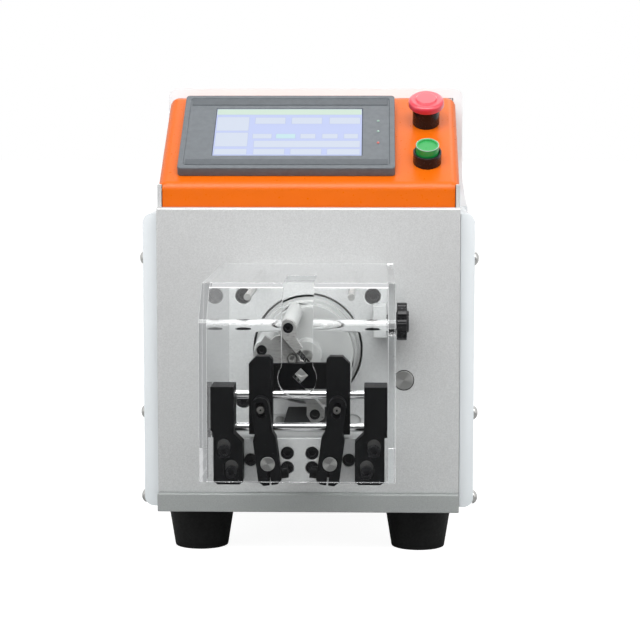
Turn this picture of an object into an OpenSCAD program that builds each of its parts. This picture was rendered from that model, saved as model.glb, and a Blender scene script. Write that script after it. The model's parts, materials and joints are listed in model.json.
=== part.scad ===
// Bench machine that strips coaxial cable with a rotating blade head.
// X runs to the viewer's right, Y into the machine and Z up, in millimetres.
// The origin lies on the bench, under the centre of the machine's box.

/* [Frame] */
// Width of the front plate, the base plate and the inner frame
body_w = 190; // [180:1:215]
// Depth from the face of the front plate to the rear panel
body_depth = 312; // [300:1:360]
// Height of the front plate above the base plate
plate_h = 180.2; // [176:0.1:192]
// Thickness of the front plate
plate_t = 8; // [6:0.5:10]
// Thickness of the base plate
base_t = 11.4; // [9:0.1:14]
// How far the base plate stands out in front of the front plate
base_proud = 6; // [3:0.5:9]
// Thickness of the two side frames
frame_t = 2.5; // [2:0.1:4]
// Thickness of the painted sheet of the covers, the console and the rear panel
sheet_t = 1.5; // [1:0.1:2]

/* [Feet] */
// Height of a rubber foot
foot_h = 28; // [20:1:34]
// Diameter of a foot where it meets the base plate
foot_top_d = 43; // [36:0.5:46]
// Diameter of a foot where it meets the bench
foot_bottom_d = 34; // [28:0.5:36]
// Distance from the side of the base plate to the centre of a foot
foot_inset_x = 25; // [24:0.5:30]
// Distance from the front and rear of the frame to the centre of a foot
foot_inset_y = 30; // [25:0.5:40]

/* [Covers] */
// How far the outer cover stands out beside the frame
cover_out = 9.5; // [8:0.1:12]
// Gap between the bench side of the base plate and the lower edge of the cover
cover_lift = 1.2; // [0.5:0.1:3]
// How far the low front part of the cover ends below the top of the front plate
cover_drop = 4; // [2:0.5:10]
// Distance from the front plate to the raised hood of the cover
hood_setback = 153; // [145:1:160]
// Height of the hood above the console's flat top
hood_rise = 7; // [5:0.5:10]
// Radius of the curve between the low part of the cover and the hood
cover_curve_r = 38; // [25:1:45]
// How much the hood steps in on each side above the low part of the cover
hood_in = 2.4; // [1:0.2:2.4]
// Height of the slope of that step
hood_step_h = 17; // [10:1:25]
// Radius along the cover's long edges
cover_edge_r = 6; // [4:0.5:8]

/* [Console] */
// Height of the upright lip of the console above the front plate
lip_h = 14.2; // [10:0.1:18]
// How far the face of the lip lies behind the face of the front plate
lip_setback = 9.6; // [8.5:0.1:12]
// Angle of the sloping panel above the horizontal
slope_angle = 33.1; // [30:0.1:36]
// Length of the sloping panel
slope_len = 100; // [97:0.5:106]
// Radius along the side edges of the console
console_edge_r = 6; // [4:0.5:8]

/* [Touch screen] */
// Width of the screen's bezel
bezel_w = 137.6; // [130:0.1:140]
// Length of the bezel along the slope
bezel_h = 84.8; // [80:0.1:86]
// Thickness of the bezel above the panel
bezel_t = 5.5; // [4:0.1:7]
// Distance from the slope's lower edge to the bezel
bezel_low = 8.9; // [7:0.1:10]
// How far the middle of the screen lies to the left of the middle of the machine
bezel_left = 14.4; // [13:0.1:16]
// Width of the visible display
display_w = 95; // [90:0.5:100]
// Height of the visible display
display_h = 53.9; // [50:0.1:56]
// Depth of the screen's housing behind the panel
housing_d = 24; // [18:0.5:25]

/* [Buttons] */
// Distance from the middle of the machine to the two buttons
button_x = 74.8; // [73:0.1:78]
// Distance up the slope to the emergency stop
stop_u = 70.4; // [66:0.1:74]
// Distance up the slope to the start button
start_u = 25.2; // [20:0.1:30]
// Diameter of the emergency stop's mushroom
mushroom_d = 23; // [22:0.1:26]
// Diameter of the emergency stop's collar
collar_d = 17.5; // [16.5:0.1:18.5]
// Height of the collar above the panel
collar_h = 12.4; // [10:0.1:14]
// Push travel of the emergency stop
stop_travel = 3; // [2.5:0.1:3]
// Diameter of the start button's bezel
start_bezel_d = 18; // [17.5:0.1:19]
// Height of the start button's bezel above the panel
start_bezel_h = 8; // [7:0.1:10]
// Diameter of the start button's cap
start_cap_d = 14.7; // [14:0.1:15]
// Push travel of the start button
start_travel = 2.5; // [2:0.1:3]
// Diameter of the threaded barrels of the two buttons
barrel_d = 16; // [15.6:0.1:16.2]

/* [Head] */
// Height of the cable's axis above the base plate
axis_h = 91.4; // [88:0.1:95]
// Diameter of the bore in the front plate
bore_d = 68.6; // [68:0.1:72]
// Running gap between that bore and the head
bore_gap = 1.2; // [0.8:0.1:1.6]
// Thickness of the head's disc
disc_t = 12; // [10:0.5:14]
// Distance from the front plate to the front faces of the blade arms
head_reach = 111; // [108:0.5:113]
// Thickness of a blade arm
blade_arm_t = 6; // [4.5:0.1:7]
// Thickness of a centring jaw
centring_t = 5.5; // [4.5:0.1:7]
// Radius from the axis to the pivots of the blade arms
blade_pivot_r = 26; // [25.6:0.1:26.4]
// Radius from the axis to the pivots of the centring jaws
centring_pivot_r = 25.8; // [25.4:0.1:26.2]
// Diameter of a pivot pillar
pillar_d = 9.6; // [8.8:0.1:9.8]
// Radius of the hub that the cable's end meets
hub_r = 9.3; // [8:0.1:10]
// Distance from the front plate to the hub's face
hub_reach = 38; // [30:1:45]
// Travel of the head into the machine
feed_travel = 40; // [30:1:40]

/* [Drive] */
// Diameter of the hollow spindle
spindle_d = 20; // [18:0.5:21]
// Outer diameter of the spindle bearings
bearing_d = 32; // [30:0.5:34]
// Diameter of the guide shafts
guide_d = 12; // [10:0.5:13]
// Distance from the middle to a guide shaft
guide_x = 60.2; // [59:0.1:62]
// Height of the guide shafts below the cable's axis
guide_drop = 19.4; // [18.5:0.1:21]
// Diameter of the feed screw
screw_d = 8; // [7:0.1:9]
// Distance from the middle to the feed screw
screw_x = 62; // [61:0.5:64]
// Height of the feed screw above the cable's axis
screw_rise = 19.2; // [18:0.1:24]
// Distance between the spindle and the spindle motor's shaft
motor_rise = 56; // [55:0.5:58]
// Side of the square spindle motor
spindle_motor_w = 57; // [52:1:58]
// Diameter of the pulley on the spindle
driven_pulley_d = 40; // [36:0.5:44]
// Diameter of the pulley on the motor
motor_pulley_d = 24; // [20:0.5:28]
// Thickness of the toothed belt
belt_t = 1.6; // [1.2:0.1:2]
// Distance from the middle to the tie rods, and to the screws seen on the front plate
tie_x = 40.6; // [39.5:0.1:42]
// Height of the tie rods above and below the cable's axis
tie_dz = 32.2; // [31:0.1:33]
// Diameter of a tie rod
tie_d = 10; // [8:0.5:10]

/* [Clamp] */
// Distance from the front plate to the face of the clamp block
block_reach = 138; // [136:0.5:140]
// Depth of the clamp block
block_depth = 26; // [22:0.5:30]
// Width of the clamp block
block_w = 95; // [92:0.5:97]
// Height of the lower side of the clamp block above the base plate
block_lift = 31.6; // [29:0.1:34]
// Height of the clamp block
block_h = 25.6; // [24:0.1:27]
// Distance between the two lever pivots, which is the pitch diameter of their gears
lever_pitch = 34.5; // [33.5:0.1:36]
// Height of the lever pivots below the cable's axis
lever_drop = 46.6; // [45.5:0.1:47.5]
// Length of a lever from its pivot to its drive pin
lever_arm = 30.5; // [29.5:0.1:31.5]
// Outward lean of the levers as drawn
lever_lean = 7.3; // [5:0.1:8]
// Thickness of a lever
lever_t = 11; // [9:0.5:12]
// Width of a lever's upper end
lever_top_w = 9.8; // [9:0.1:11]
// Width of a lever's lower end
lever_low_w = 13; // [12:0.1:14]
// Diameter of the lever shafts
lever_shaft_d = 8; // [7:0.1:9]
// Diameter of the two drive pins
drive_pin_d = 4.1; // [3.5:0.1:4.4]
// Width of a jaw upright
upright_w = 13.3; // [12:0.1:14]
// Thickness of a jaw upright
upright_t = 9; // [8:0.1:10]
// Diameter of the rods that guide the jaws
jaw_rod_d = 5; // [4:0.1:6]
// Height of a jaw plate
jaw_h = 15; // [12:0.1:17]
// Thickness of a jaw plate
jaw_t = 3.9; // [3:0.1:4.2]
// Distance across the corners of the cable opening as drawn
jaw_opening = 8.9; // [8:0.1:10]
// Width of the upper part of a clamp post
post_w = 12.9; // [11:0.1:13.2]
// Height of the clamp posts
post_h = 55; // [53:0.1:58]

/* [Guard] */
// Outer width of the clear guard
guard_w = 107; // [106:0.5:112]
// Thickness of the guard's walls
guard_t = 4; // [3:0.1:4]
// Distance from the front plate to the guard's front wall
guard_reach = 174; // [170:1:182]
// Height of the guard's lower edge above the base plate
guard_lift = 38.1; // [34:0.1:42]
// Height of the guard
guard_h = 107.5; // [105:0.5:112]
// Depth of the sloping facet at the guard's upper front
facet_depth = 23; // [18:0.5:26]
// Height of that facet
facet_h = 20; // [16:0.5:23]
// Width of the cable slot
slot_w = 17; // [14:0.5:18]
// Diameter of the round end of the cable slot
keyhole_d = 21; // [19:0.5:24]
// Height of that round end above the cable's axis
keyhole_rise = 4.1; // [2:0.1:6]
// Distance from the front plate to the rear end of the slot
slot_start = 100; // [90:1:110]
// Diameter of the star knob
knob_d = 23.5; // [22:0.5:26]
// Thickness of the star knob
knob_t = 6.2; // [5:0.1:8]
// Height of the star knob above the cable's axis
knob_rise = 19.1; // [17:0.1:21]
// Distance from the front plate to the middle of the star knob
knob_reach = 14; // [12.5:0.5:18]
// Diameter of the knob's stud
stud_d = 6; // [5:0.1:6.5]
// Diameter of the two guard rods
guard_rod_d = 4; // [3:0.1:5]
// Length of the guard rods in front of the front plate
guard_rod_len = 142; // [130:1:150]

/* [Clearance] */
// Radial gap of a running or seated fit
fit = 0.05; // [0.03:0.01:0.08]
// Gap between pieces that move past one another
gap = 0.4; // [0.3:0.05:0.5]

/* [Hidden] */
$fn = 64;
over = 1;

// The machine in side view
half_w = body_w / 2;
base_z = foot_h + base_t;
plate_top = base_z + plate_h;
frame_top = plate_top + lip_h;
console_top = frame_top + slope_len * sin(slope_angle);
hood_top = console_top + hood_rise;
panel_y = body_depth - sheet_t;
switch_w = 27;
switch_h = 19;
switch_dz = 16;
rocker_angle = 8;
rocker_tip = 5;
rocker_sink = 5;
inlet_proud = 2.5;
rocker_half = switch_w / 2 - 1;
rocker_rise = rocker_half * sin(rocker_angle) + rocker_tip * cos(rocker_angle);
switch_proud = inlet_proud - rocker_sink + rocker_rise;
y_shift = (guard_reach - body_depth - switch_proud) / 2;

// The outer cover
cover_x = half_w + cover_out;
cover_in = half_w + gap;
hood_edge_r = min(cover_edge_r, cover_x - hood_in - cover_in);
cover_z = foot_h + cover_lift;
low_top = plate_top - cover_drop;
screw_z = [foot_h + base_t / 2, base_z + 48.8, plate_top - 32.8];
screw_y = plate_t + 12;
rear_screw_y = body_depth - 20;
cover_thread_d = 3.4;

// The head and its carriage
axis_z = base_z + axis_h;
disc_r = bore_d / 2 - bore_gap;
disc_y = 1;
disc_steps = [[0, 0], [2.2, 8], [4.5, 20]];
cable_bore = 8;
disc_end = disc_y + disc_t;
pulley_y = disc_end + 5;
pulley_t = 10;
carriage_y = pulley_y + pulley_t + 6;
carriage_t = 12;
housing_len = 30;
housing_r = bearing_d / 2 + 8;
bearing_w = 9;
spindle_end = carriage_y + carriage_t + housing_len + 2;
motor_z = axis_z + motor_rise;
guide_z = axis_z - guide_drop;
feed_z = axis_z + screw_rise;
bush_r = guide_d / 2 + 4.5;
bush_len = 30;
nut_r = screw_d / 2 + 3;
carriage_w = screw_x + nut_r + 7;
bearing_room = 60;
bearing_y = carriage_y + carriage_t + housing_len + bearing_room + feed_travel;
bearing_t = 10;
feed_motor_w = 42;
feed_motor_len = 40;
spindle_motor_len = 58;
clamp_motor_len = 36;
bearing_rise = 25;

// The rocking arms on the head: pivot angle, tilt and how far the edge lies beside the pivot
blade_angle = 107.2;
blade_tilt = 23.5;
blade_edge = -6;
blade_w = 2.7;
blade_seat_x = 6;
centring_angle = 153.7;
centring_tilt = 20;
centring_edge = -5.5;
arm_len = 27;
arm_end = 14;
blade_y = -head_reach;
centring_y = blade_y + blade_arm_t + gap;
pivot_d = 6;
pivot_shank_d = 4;
pivot_head = 2.5;
pivot_thread = 12;
blade_t = 1.2;

// The cable clamp
block_y = -block_reach;
block_back = block_y + block_depth;
block_z = base_z + block_lift;
block_top = block_z + block_h;
lever_x = lever_pitch / 2;
lever_z = axis_z - lever_drop;
pin_x = lever_x + lever_arm * sin(lever_lean);
pin_z = lever_z + lever_arm * cos(lever_lean);
flange_t = 2.7;
lever_back = block_y - flange_t - gap;
lever_y = lever_back - lever_t;
upright_y = lever_back + 1;
upright_back = upright_y + upright_t;
upright_x = pin_x - upright_w * 0.46;
upright_z = block_top + 2.4;
upright_top = axis_z + 12.2;
rod_y = upright_y + upright_t / 2;
rod_z = [block_top + 6, axis_z - 9.8];
jaw_travel = 3.5;
jaw_z = axis_z - 0.5;
beam_half = lever_x - lever_shaft_d / 2 - 0.8;
pocket_depth = 1.2;
post_over = 1.6;
post_out = block_w / 2 + post_over;
post_x = post_out - post_w;
post_low_x = post_x - 5.1;
post_y = block_y - 12;
post_z = block_z + 1;
post_top = post_z + post_h;
post_behind = 7.5;
post_back = rod_y + post_behind;
gear_y = plate_t + 5;
gear_t = 8;
gear_teeth = 23;
motor_side = 35;
bracket_y = disc_end + feed_travel + 3;
bracket_t = 6;
shaft_end = bracket_y + bracket_t + 20;

// The guard
guard_x = guard_w / 2;
guard_y = -guard_reach;
guard_z = base_z + guard_lift;
guard_top = guard_z + guard_h;
knob_z = axis_z + knob_rise;
knob_y = -knob_reach;
rod_x = tie_x - 11.7;
guard_rod_rise = 44.2;
guard_rod_z = axis_z + guard_rod_rise;

// The screen and the buttons
bezel_mid = bezel_low + bezel_h / 2;
display_mid = bezel_mid + 0.3;
cutout_margin = 5;
inlet_x = 45;
inlet_z = base_z + 45;

module placed() {
  translate([0, y_shift, 0])
    children();
}

// A box between two corners
module box(a, b) {
  translate(a)
    cube(b - a);
}

// A round bar along Y, and one along X
module bar_y(d, y0, y1, x, z) {
  translate([x, y0, z])
    rotate([-90, 0, 0])
      cylinder(d = d, h = y1 - y0);
}

module bar_x(d, x0, x1, y, z) {
  translate([x0, y, z])
    rotate([0, 90, 0])
      cylinder(d = d, h = x1 - x0);
}

// An outline in X and Z made solid along Y, and one in Y and Z made solid along X
module slab_xz(y0, y1) {
  translate([0, y1, 0])
    rotate([90, 0, 0])
      linear_extrude(y1 - y0)
        children();
}

module slab_yz(x0, x1) {
  translate([x0, 0, 0])
    rotate([90, 0, 90])
      linear_extrude(x1 - x0)
        children();
}

module both_sides() {
  children();
  mirror([1, 0, 0])
    children();
}

// A rectangle with round corners
module round_rect(x0, x1, z0, z1, r) {
  translate([x0 + r, z0])
    square([x1 - x0 - 2 * r, z1 - z0]);
  translate([x0, z0 + r])
    square([x1 - x0, z1 - z0 - 2 * r]);
  for (x = [x0 + r, x1 - r], z = [z0 + r, z1 - r])
    translate([x, z])
      circle(r);
}

// A slot standing upright, between the centres of its two round ends
module upright_slot(w, x, z0, z1) {
  translate([x - w / 2, z0])
    square([w, z1 - z0]);
  for (z = [z0, z1])
    translate([x, z])
      circle(d = w);
}

// A frame on the sloping panel: X across, Y up the slope and Z out of the panel
module on_slope(x, u) {
  translate([x, lip_setback + u * cos(slope_angle), frame_top + u * sin(slope_angle)])
    rotate([slope_angle, 0, 0])
      children();
}

// A socket head cap screw along Y with its head towards the viewer
module cap_screw(d, len, x, y, z) {
  head_d = 1.75 * d;
  difference() {
    union() {
      bar_y(head_d, y, y + d, x, z);
      bar_y(d, y + d, y + d + len, x, z);
    }
    translate([x, y - over, z])
      rotate([-90, 0, 0])
        cylinder(d = d, h = over + d * 0.6, $fn = 6);
  }
}

// Where the two front feet and the two rear feet stand
module at_feet() {
  for (x = [-half_w + foot_inset_x, half_w - foot_inset_x])
    for (y = [foot_inset_y, panel_y - foot_inset_y])
      translate([x, y, 0])
        children();
}

foot_bolt_d = 5.5;

module base_plate() {
  color("gainsboro") placed() difference() {
    box([-half_w, -base_proud, foot_h], [half_w, panel_y, base_z]);
    at_feet()
      translate([0, 0, foot_h - over])
        cylinder(d = foot_bolt_d, h = base_t + 2 * over);
    both_sides()
      for (y = [screw_y, rear_screw_y])
        bar_x(cover_thread_d, half_w - 10, half_w + over, y, screw_z[0]);
  }
}

module rubber_feet() {
  color("black") placed() at_feet() difference() {
    cylinder(d1 = foot_bottom_d, d2 = foot_top_d, h = foot_h);
    translate([0, 0, -over])
      cylinder(d = foot_bottom_d * 0.55, h = over + foot_h * 0.6);
    translate([0, 0, -over])
      cylinder(d = foot_bolt_d, h = foot_h + 2 * over);
  }
}

pocket_half = 33;
plate_screw_d = 5;

module at_tie_rods() {
  for (x = [-tie_x, tie_x], z = [axis_z - tie_dz, axis_z + tie_dz])
    translate([x, 0, z])
      children();
}

module front_plate() {
  edge = 1;
  color("gainsboro") placed() difference() {
    box([-half_w, 0, base_z], [half_w, plate_t, plate_top]);
    translate([0, 0, plate_top])
      rotate([45, 0, 0])
        cube([body_w + 2 * over, edge * sqrt(2), edge * sqrt(2)], center = true);
    bar_y(bore_d, -over, plate_t + over, 0, axis_z);
    at_tie_rods() {
      bar_y(10, -over, plate_screw_d + 0.5, 0, 0);
      bar_y(plate_screw_d + 0.5, 0, plate_t + over, 0, 0);
    }
    both_sides() {
      bar_y(guide_d + 2 * fit, -over, plate_t + over, guide_x, guide_z);
      bar_y(lever_shaft_d + 2 * fit, -over, plate_t + over, lever_x, lever_z);
      bar_y(guard_rod_d + 2 * fit, -over, plate_t + over, rod_x, guard_rod_z);
    }
    bar_y(screw_d + 2 * fit, plate_t / 2, plate_t + over, -screw_x, feed_z);
    slab_xz(-over, pocket_depth)
      round_rect(-pocket_half, pocket_half, block_z - 9, block_top - 7, 4);
  }
}

module cover_stud_places() {
  for (y = [screw_y, rear_screw_y], z = [screw_z[1], screw_z[2]])
    translate([0, y, z])
      children();
}

module side_frames() {
  stud_r = 5;
  color("silver") placed() both_sides() difference() {
    union() {
      box([half_w - frame_t, plate_t, base_z], [half_w, panel_y, frame_top]);
      cover_stud_places()
        bar_x(2 * stud_r, half_w - frame_t, cover_x - sheet_t, 0, 0);
    }
    cover_stud_places()
      bar_x(cover_thread_d, half_w, cover_x + over, 0, 0);
  }
}

vent_count = 9;
inlet_w = 48;
inlet_h = 58;

// What the hood's step leaves outside the hood, on the right side, for a side wall at x
module hood_step(x) {
  slab_xz(plate_t - over, body_depth + 2 * over)
    polygon([[x, low_top], [x - hood_in, low_top + hood_step_h], [x - hood_in, hood_top + over],
      [x + over, hood_top + over], [x + over, low_top]]);
}

module rear_panel() {
  panel_x = cover_x - sheet_t - gap;
  panel_z = cover_z + sheet_t + gap;
  panel_top = hood_top - sheet_t - gap;
  color("whitesmoke") placed() difference() {
    slab_xz(panel_y, body_depth)
      round_rect(-panel_x, panel_x, panel_z, panel_top, cover_edge_r);
    both_sides() {
      hood_step(panel_x);
      edge_corner(panel_y - over, body_depth + over, panel_x - hood_in, panel_top, hood_edge_r, true);
    }
    for (i = [0 : vent_count - 1])
      slab_xz(panel_y - over, body_depth + over)
        upright_slot(4, -40 + 10 * i, panel_top - 75, panel_top - 35);
    box([inlet_x - inlet_w / 2 + 2, panel_y - over, inlet_z - inlet_h / 2 + 2],
      [inlet_x + inlet_w / 2 - 2, body_depth + over, inlet_z + inlet_h / 2 - 2]);
  }
}

// The side of the outer cover in Y and Z, drawn in by an inset
module cover_side(inset) {
  end = inset > 0 ? body_depth + over : body_depth;
  curve = cover_curve_r + inset;
  corner = [hood_setback + inset, low_top - inset];
  translate([plate_t + inset, cover_z + inset])
    square([end - plate_t - inset, low_top - cover_z - 2 * inset]);
  translate([hood_setback + inset, cover_z + inset])
    square([end - hood_setback - inset, hood_top - cover_z - 2 * inset]);
  difference() {
    translate([corner[0] - curve, corner[1] - over])
      square([curve + over, curve + over]);
    translate([corner[0] - curve, corner[1] + curve])
      circle(curve);
  }
}

// What a rounded edge along Y leaves between its curve and the square corner, on the right side
module edge_corner(y0, y1, x, z, r, up) {
  far = over / 2;
  difference() {
    box([x - r, y0, up ? z - r : z - far], [x + far, y1, up ? z + far : z + r]);
    bar_y(2 * r, y0 - over, y1 + over, x - r, up ? z - r : z + r);
  }
}

module outer_cover() {
  inner_x = cover_x - sheet_t;
  inner_r = cover_edge_r - sheet_t;
  curve_start = hood_setback - cover_curve_r;
  color("whitesmoke") placed() {
    both_sides() difference() {
      slab_yz(cover_in, cover_x)
        cover_side(0);
      difference() {
        slab_yz(cover_in - over, inner_x)
          cover_side(sheet_t);
        edge_corner(plate_t, curve_start, inner_x, low_top - sheet_t, inner_r, true);
        edge_corner(plate_t, body_depth + over, inner_x, cover_z + sheet_t, inner_r, false);
        hood_step(inner_x);
        edge_corner(hood_setback, body_depth + over, inner_x - hood_in, hood_top - sheet_t,
          hood_edge_r - sheet_t, true);
      }
      edge_corner(plate_t - over, curve_start, cover_x, low_top, cover_edge_r, true);
      edge_corner(plate_t - over, body_depth + over, cover_x, cover_z, cover_edge_r, false);
      hood_step(cover_x);
      edge_corner(hood_setback - over, body_depth + over, cover_x - hood_in, hood_top, hood_edge_r, true);
      for (y = [screw_y, rear_screw_y], z = screw_z)
        bar_x(cover_thread_d + 1, inner_x - over, cover_x + over, y, z);
    }
    box([-cover_in, hood_setback, hood_top - sheet_t], [cover_in, body_depth, hood_top]);
    box([-cover_in, hood_setback, console_top + gap], [cover_in, hood_setback + sheet_t, hood_top]);
  }
}

// A button head screw along X on the right side
module button_screw(y, z, len) {
  head_r = 4.4;
  head_h = 3.3;
  dome_r = 5.2;
  translate([cover_x, y, z])
    rotate([0, 90, 0])
      difference() {
        union() {
          intersection() {
            translate([0, 0, head_h - dome_r])
              sphere(dome_r);
            cylinder(r = head_r, h = head_h);
          }
          translate([0, 0, -len])
            cylinder(d = cover_thread_d - 2 * fit, h = len + over);
        }
        translate([0, 0, head_h - 1.4])
          cylinder(d = 2.9, h = over + 1.4, $fn = 6);
      }
}

module cover_screws() {
  color("silver") placed() both_sides()
    for (y = [screw_y, rear_screw_y]) {
      button_screw(y, screw_z[0], cover_out + 6);
      button_screw(y, screw_z[1], cover_out - 2);
      button_screw(y, screw_z[2], cover_out - 2);
    }
}

// The solid under the console's sheet, drawn in by an inset
module console_block(inset) {
  r = console_edge_r - inset;
  wide = half_w - inset;
  front = lip_setback + inset;
  top = console_top - inset;
  low = frame_top - 2 * inset;
  end = hood_setback + 10 + inset;
  foot_u = inset * (1 - sin(slope_angle)) / cos(slope_angle);
  crease_u = slope_len - inset * (1 - cos(slope_angle)) / sin(slope_angle);
  foot_z = frame_top + foot_u * sin(slope_angle) - inset * cos(slope_angle);
  crease_y = lip_setback + crease_u * cos(slope_angle) + inset * sin(slope_angle);
  difference() {
    slab_yz(-wide, wide)
      polygon([[front, low], [front, foot_z], [crease_y, top], [end, top], [end, low]]);
    both_sides() {
      on_slope(0, 0)
        edge_corner(-20, slope_len + 20, wide, -inset, r, true);
      edge_corner(crease_y - 20, end + over, wide, top, r, true);
    }
  }
}

module console_panel() {
  lip_x = half_w - frame_t - gap;
  color("darkorange") placed() difference() {
    union() {
      difference() {
        console_block(0);
        console_block(sheet_t);
      }
      box([-lip_x, lip_setback, plate_top - 6], [lip_x, lip_setback + sheet_t, frame_top]);
    }
    on_slope(-bezel_left, bezel_mid)
      cube([bezel_w - 2 * cutout_margin, bezel_h - 2 * cutout_margin, 8], center = true);
    for (u = [stop_u, start_u])
      on_slope(button_x, u)
        cylinder(d = barrel_d + 2 * fit, h = 10, center = true);
  }
}

module screen_bezel() {
  rim = 3.5;
  rim_h = 0.8;
  body_x = bezel_w / 2 - cutout_margin - gap;
  body_y = bezel_h / 2 - cutout_margin - gap;
  offset_y = display_mid - bezel_mid;
  color("dimgray") placed() on_slope(-bezel_left, bezel_mid) difference() {
    union() {
      linear_extrude(bezel_t + rim_h)
        round_rect(-bezel_w / 2, bezel_w / 2, -bezel_h / 2, bezel_h / 2, 2.5);
      box([-body_x, -body_y, -housing_d], [body_x, body_y, over]);
    }
    translate([0, 0, bezel_t])
      linear_extrude(rim_h + over)
        round_rect(rim - bezel_w / 2, bezel_w / 2 - rim, rim - bezel_h / 2, bezel_h / 2 - rim, 1.5);
    box([-display_w / 2 - gap, offset_y - display_h / 2 - gap, bezel_t - 2.2],
      [display_w / 2 + gap, offset_y + display_h / 2 + gap, bezel_t + over]);
  }
}

module screen_glass() {
  color("lightsteelblue") placed() on_slope(-bezel_left, display_mid)
    box([-display_w / 2, -display_h / 2, bezel_t - 2.2], [display_w / 2, display_h / 2, bezel_t - 0.3]);
}

stop_stem_r = 4;
stop_pin_r = 3;
stop_rim_h = 5.4;
stop_dome_h = 0.9;
stop_pin_in = 1.2;
stop_recess = stop_travel + 1;
stop_floor = collar_h + gap;
stop_bore = 20;
nut_h = 3.5;

module stop_collar() {
  contact_w = 18;
  contact_h = 20;
  barrel_h = 14;
  color("black") placed() on_slope(button_x, stop_u) difference() {
    union() {
      cylinder(d = collar_d, h = collar_h);
      translate([0, 0, -barrel_h])
        cylinder(d = barrel_d, h = barrel_h + over);
      translate([-contact_w / 2, -contact_w / 2, -barrel_h - contact_h])
        cube([contact_w, contact_w, contact_h + over]);
      translate([0, 0, -sheet_t - nut_h])
        cylinder(d = collar_d + 1.5, h = nut_h);
    }
    translate([0, 0, -stop_bore])
      cylinder(r = stop_stem_r + fit, h = stop_bore + collar_h + over);
  }
}

module stop_stem() {
  color("dimgray") placed() on_slope(button_x, stop_u) {
    translate([0, 0, stop_travel + gap - stop_bore])
      cylinder(r = stop_stem_r, h = stop_bore - stop_travel + stop_floor + stop_recess - 2 * gap);
    cylinder(r = stop_pin_r, h = stop_floor + stop_recess + stop_pin_in);
  }
}

module stop_mushroom() {
  round_r = 2.2;
  rim_r = mushroom_d / 2;
  rim_low = 0.8;
  ring_r = 6.8;
  color("crimson") placed() on_slope(button_x, stop_u) difference() {
    union() {
      translate([0, 0, stop_floor])
        rotate_extrude() {
          translate([0, rim_low])
            square([rim_r, stop_rim_h - rim_low - round_r]);
          square([rim_r - rim_low, stop_rim_h - round_r]);
          square([rim_r - round_r, stop_rim_h]);
          translate([rim_r - round_r, stop_rim_h - round_r])
            circle(round_r);
        }
      translate([0, 0, stop_floor + stop_rim_h - over])
        cylinder(r1 = ring_r + 1, r2 = ring_r - 0.4, h = stop_dome_h + over);
    }
    translate([0, 0, stop_floor - over])
      cylinder(d = collar_d + 2 * gap, h = stop_recess + over);
    cylinder(r = stop_pin_r + fit, h = stop_floor + stop_recess + stop_pin_in + gap);
  }
}

start_stem_r = 5;
start_bore = 16;
start_barrel = 22;

module start_bezel() {
  color("black") placed() on_slope(button_x, start_u) difference() {
    union() {
      cylinder(d = start_bezel_d, h = start_bezel_h);
      translate([0, 0, -start_barrel])
        cylinder(d = barrel_d, h = start_barrel + over);
      translate([0, 0, -sheet_t - nut_h])
        cylinder(d = start_bezel_d + 1, h = nut_h);
    }
    translate([0, 0, 1])
      cylinder(d = start_cap_d + 2 * gap, h = start_bezel_h);
    translate([0, 0, -start_bore])
      cylinder(r = start_stem_r + fit, h = start_bore + start_bezel_h);
  }
}

module start_button() {
  floor = 1 + start_travel + gap;
  cap_top = 13;
  color("limegreen") placed() on_slope(button_x, start_u) difference() {
    union() {
      translate([0, 0, floor])
        cylinder(d = start_cap_d, h = cap_top - floor);
      translate([0, 0, start_travel + gap - start_bore])
        cylinder(r = start_stem_r, h = start_bore - start_travel - gap + floor + over);
    }
    translate([0, 0, cap_top - 0.8])
      cylinder(d = start_cap_d - 3, h = over + 0.8);
  }
}

module plate_screws() {
  color("dimgray") placed() at_tie_rods()
    cap_screw(plate_screw_d, 8, 0, 0.5, 0);
}

module tie_rods() {
  color("silver") placed() at_tie_rods() difference() {
    bar_y(tie_d, plate_t, bearing_y, 0, 0);
    bar_y(plate_screw_d + 2 * fit, plate_t - over, plate_t + 8, 0, 0);
  }
}

module bearing_plate() {
  color("gainsboro") placed() difference() {
    box([-carriage_w, bearing_y, base_z], [carriage_w, bearing_y + bearing_t, feed_z + bearing_rise]);
    both_sides()
      bar_y(guide_d + 2 * fit, bearing_y - over, bearing_y + bearing_t + over, guide_x, guide_z);
    bar_y(screw_d + 2 * gap, bearing_y - over, bearing_y + bearing_t + over, -screw_x, feed_z);
  }
}

module guide_shafts() {
  color("silver") placed() both_sides()
    bar_y(guide_d, -0.5, bearing_y + bearing_t, guide_x, guide_z);
}

module support_beam() {
  color("dimgray") placed() difference() {
    box([-beam_half, block_back, block_z + 2], [beam_half, 0, block_top - 2]);
    for (x = block_screw_x, z = block_screw_z)
      bar_y(4 + 2 * fit, block_back - over, block_back + 12, x, z);
  }
}

block_screw_x = [-7, 7];
block_screw_z = [block_z + 8.8, block_z + 17];
side_screw_x = lever_x + 10.3;
post_screw_x = [post_low_x + 6.5, post_low_x + 10.7];
post_screw_z = [block_z + 8, block_z + 19.8];
post_slot = 3.4;
screw_sink = 4.5;

module clamp_block() {
  color("silver") placed() difference() {
    box([-block_w / 2, block_y, block_z], [block_w / 2, block_back, block_top]);
    both_sides() {
      bar_y(lever_shaft_d + 4, block_y - over, block_back + over, lever_x, lever_z);
      bar_y(7.5, block_y - over, block_y + screw_sink, side_screw_x, lever_z);
      bar_y(4 + 2 * fit, block_y - over, block_y + 20, side_screw_x, lever_z);
      for (i = [0, 1])
        bar_y(4 + 2 * fit, block_y - over, block_y + 14, post_screw_x[i], post_screw_z[i]);
    }
    for (x = block_screw_x, z = block_screw_z) {
      bar_y(7.5, block_y - over, block_y + screw_sink, x, z);
      bar_y(4 + 2 * fit, block_y - over, block_back + over, x, z);
    }
  }
}

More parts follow.
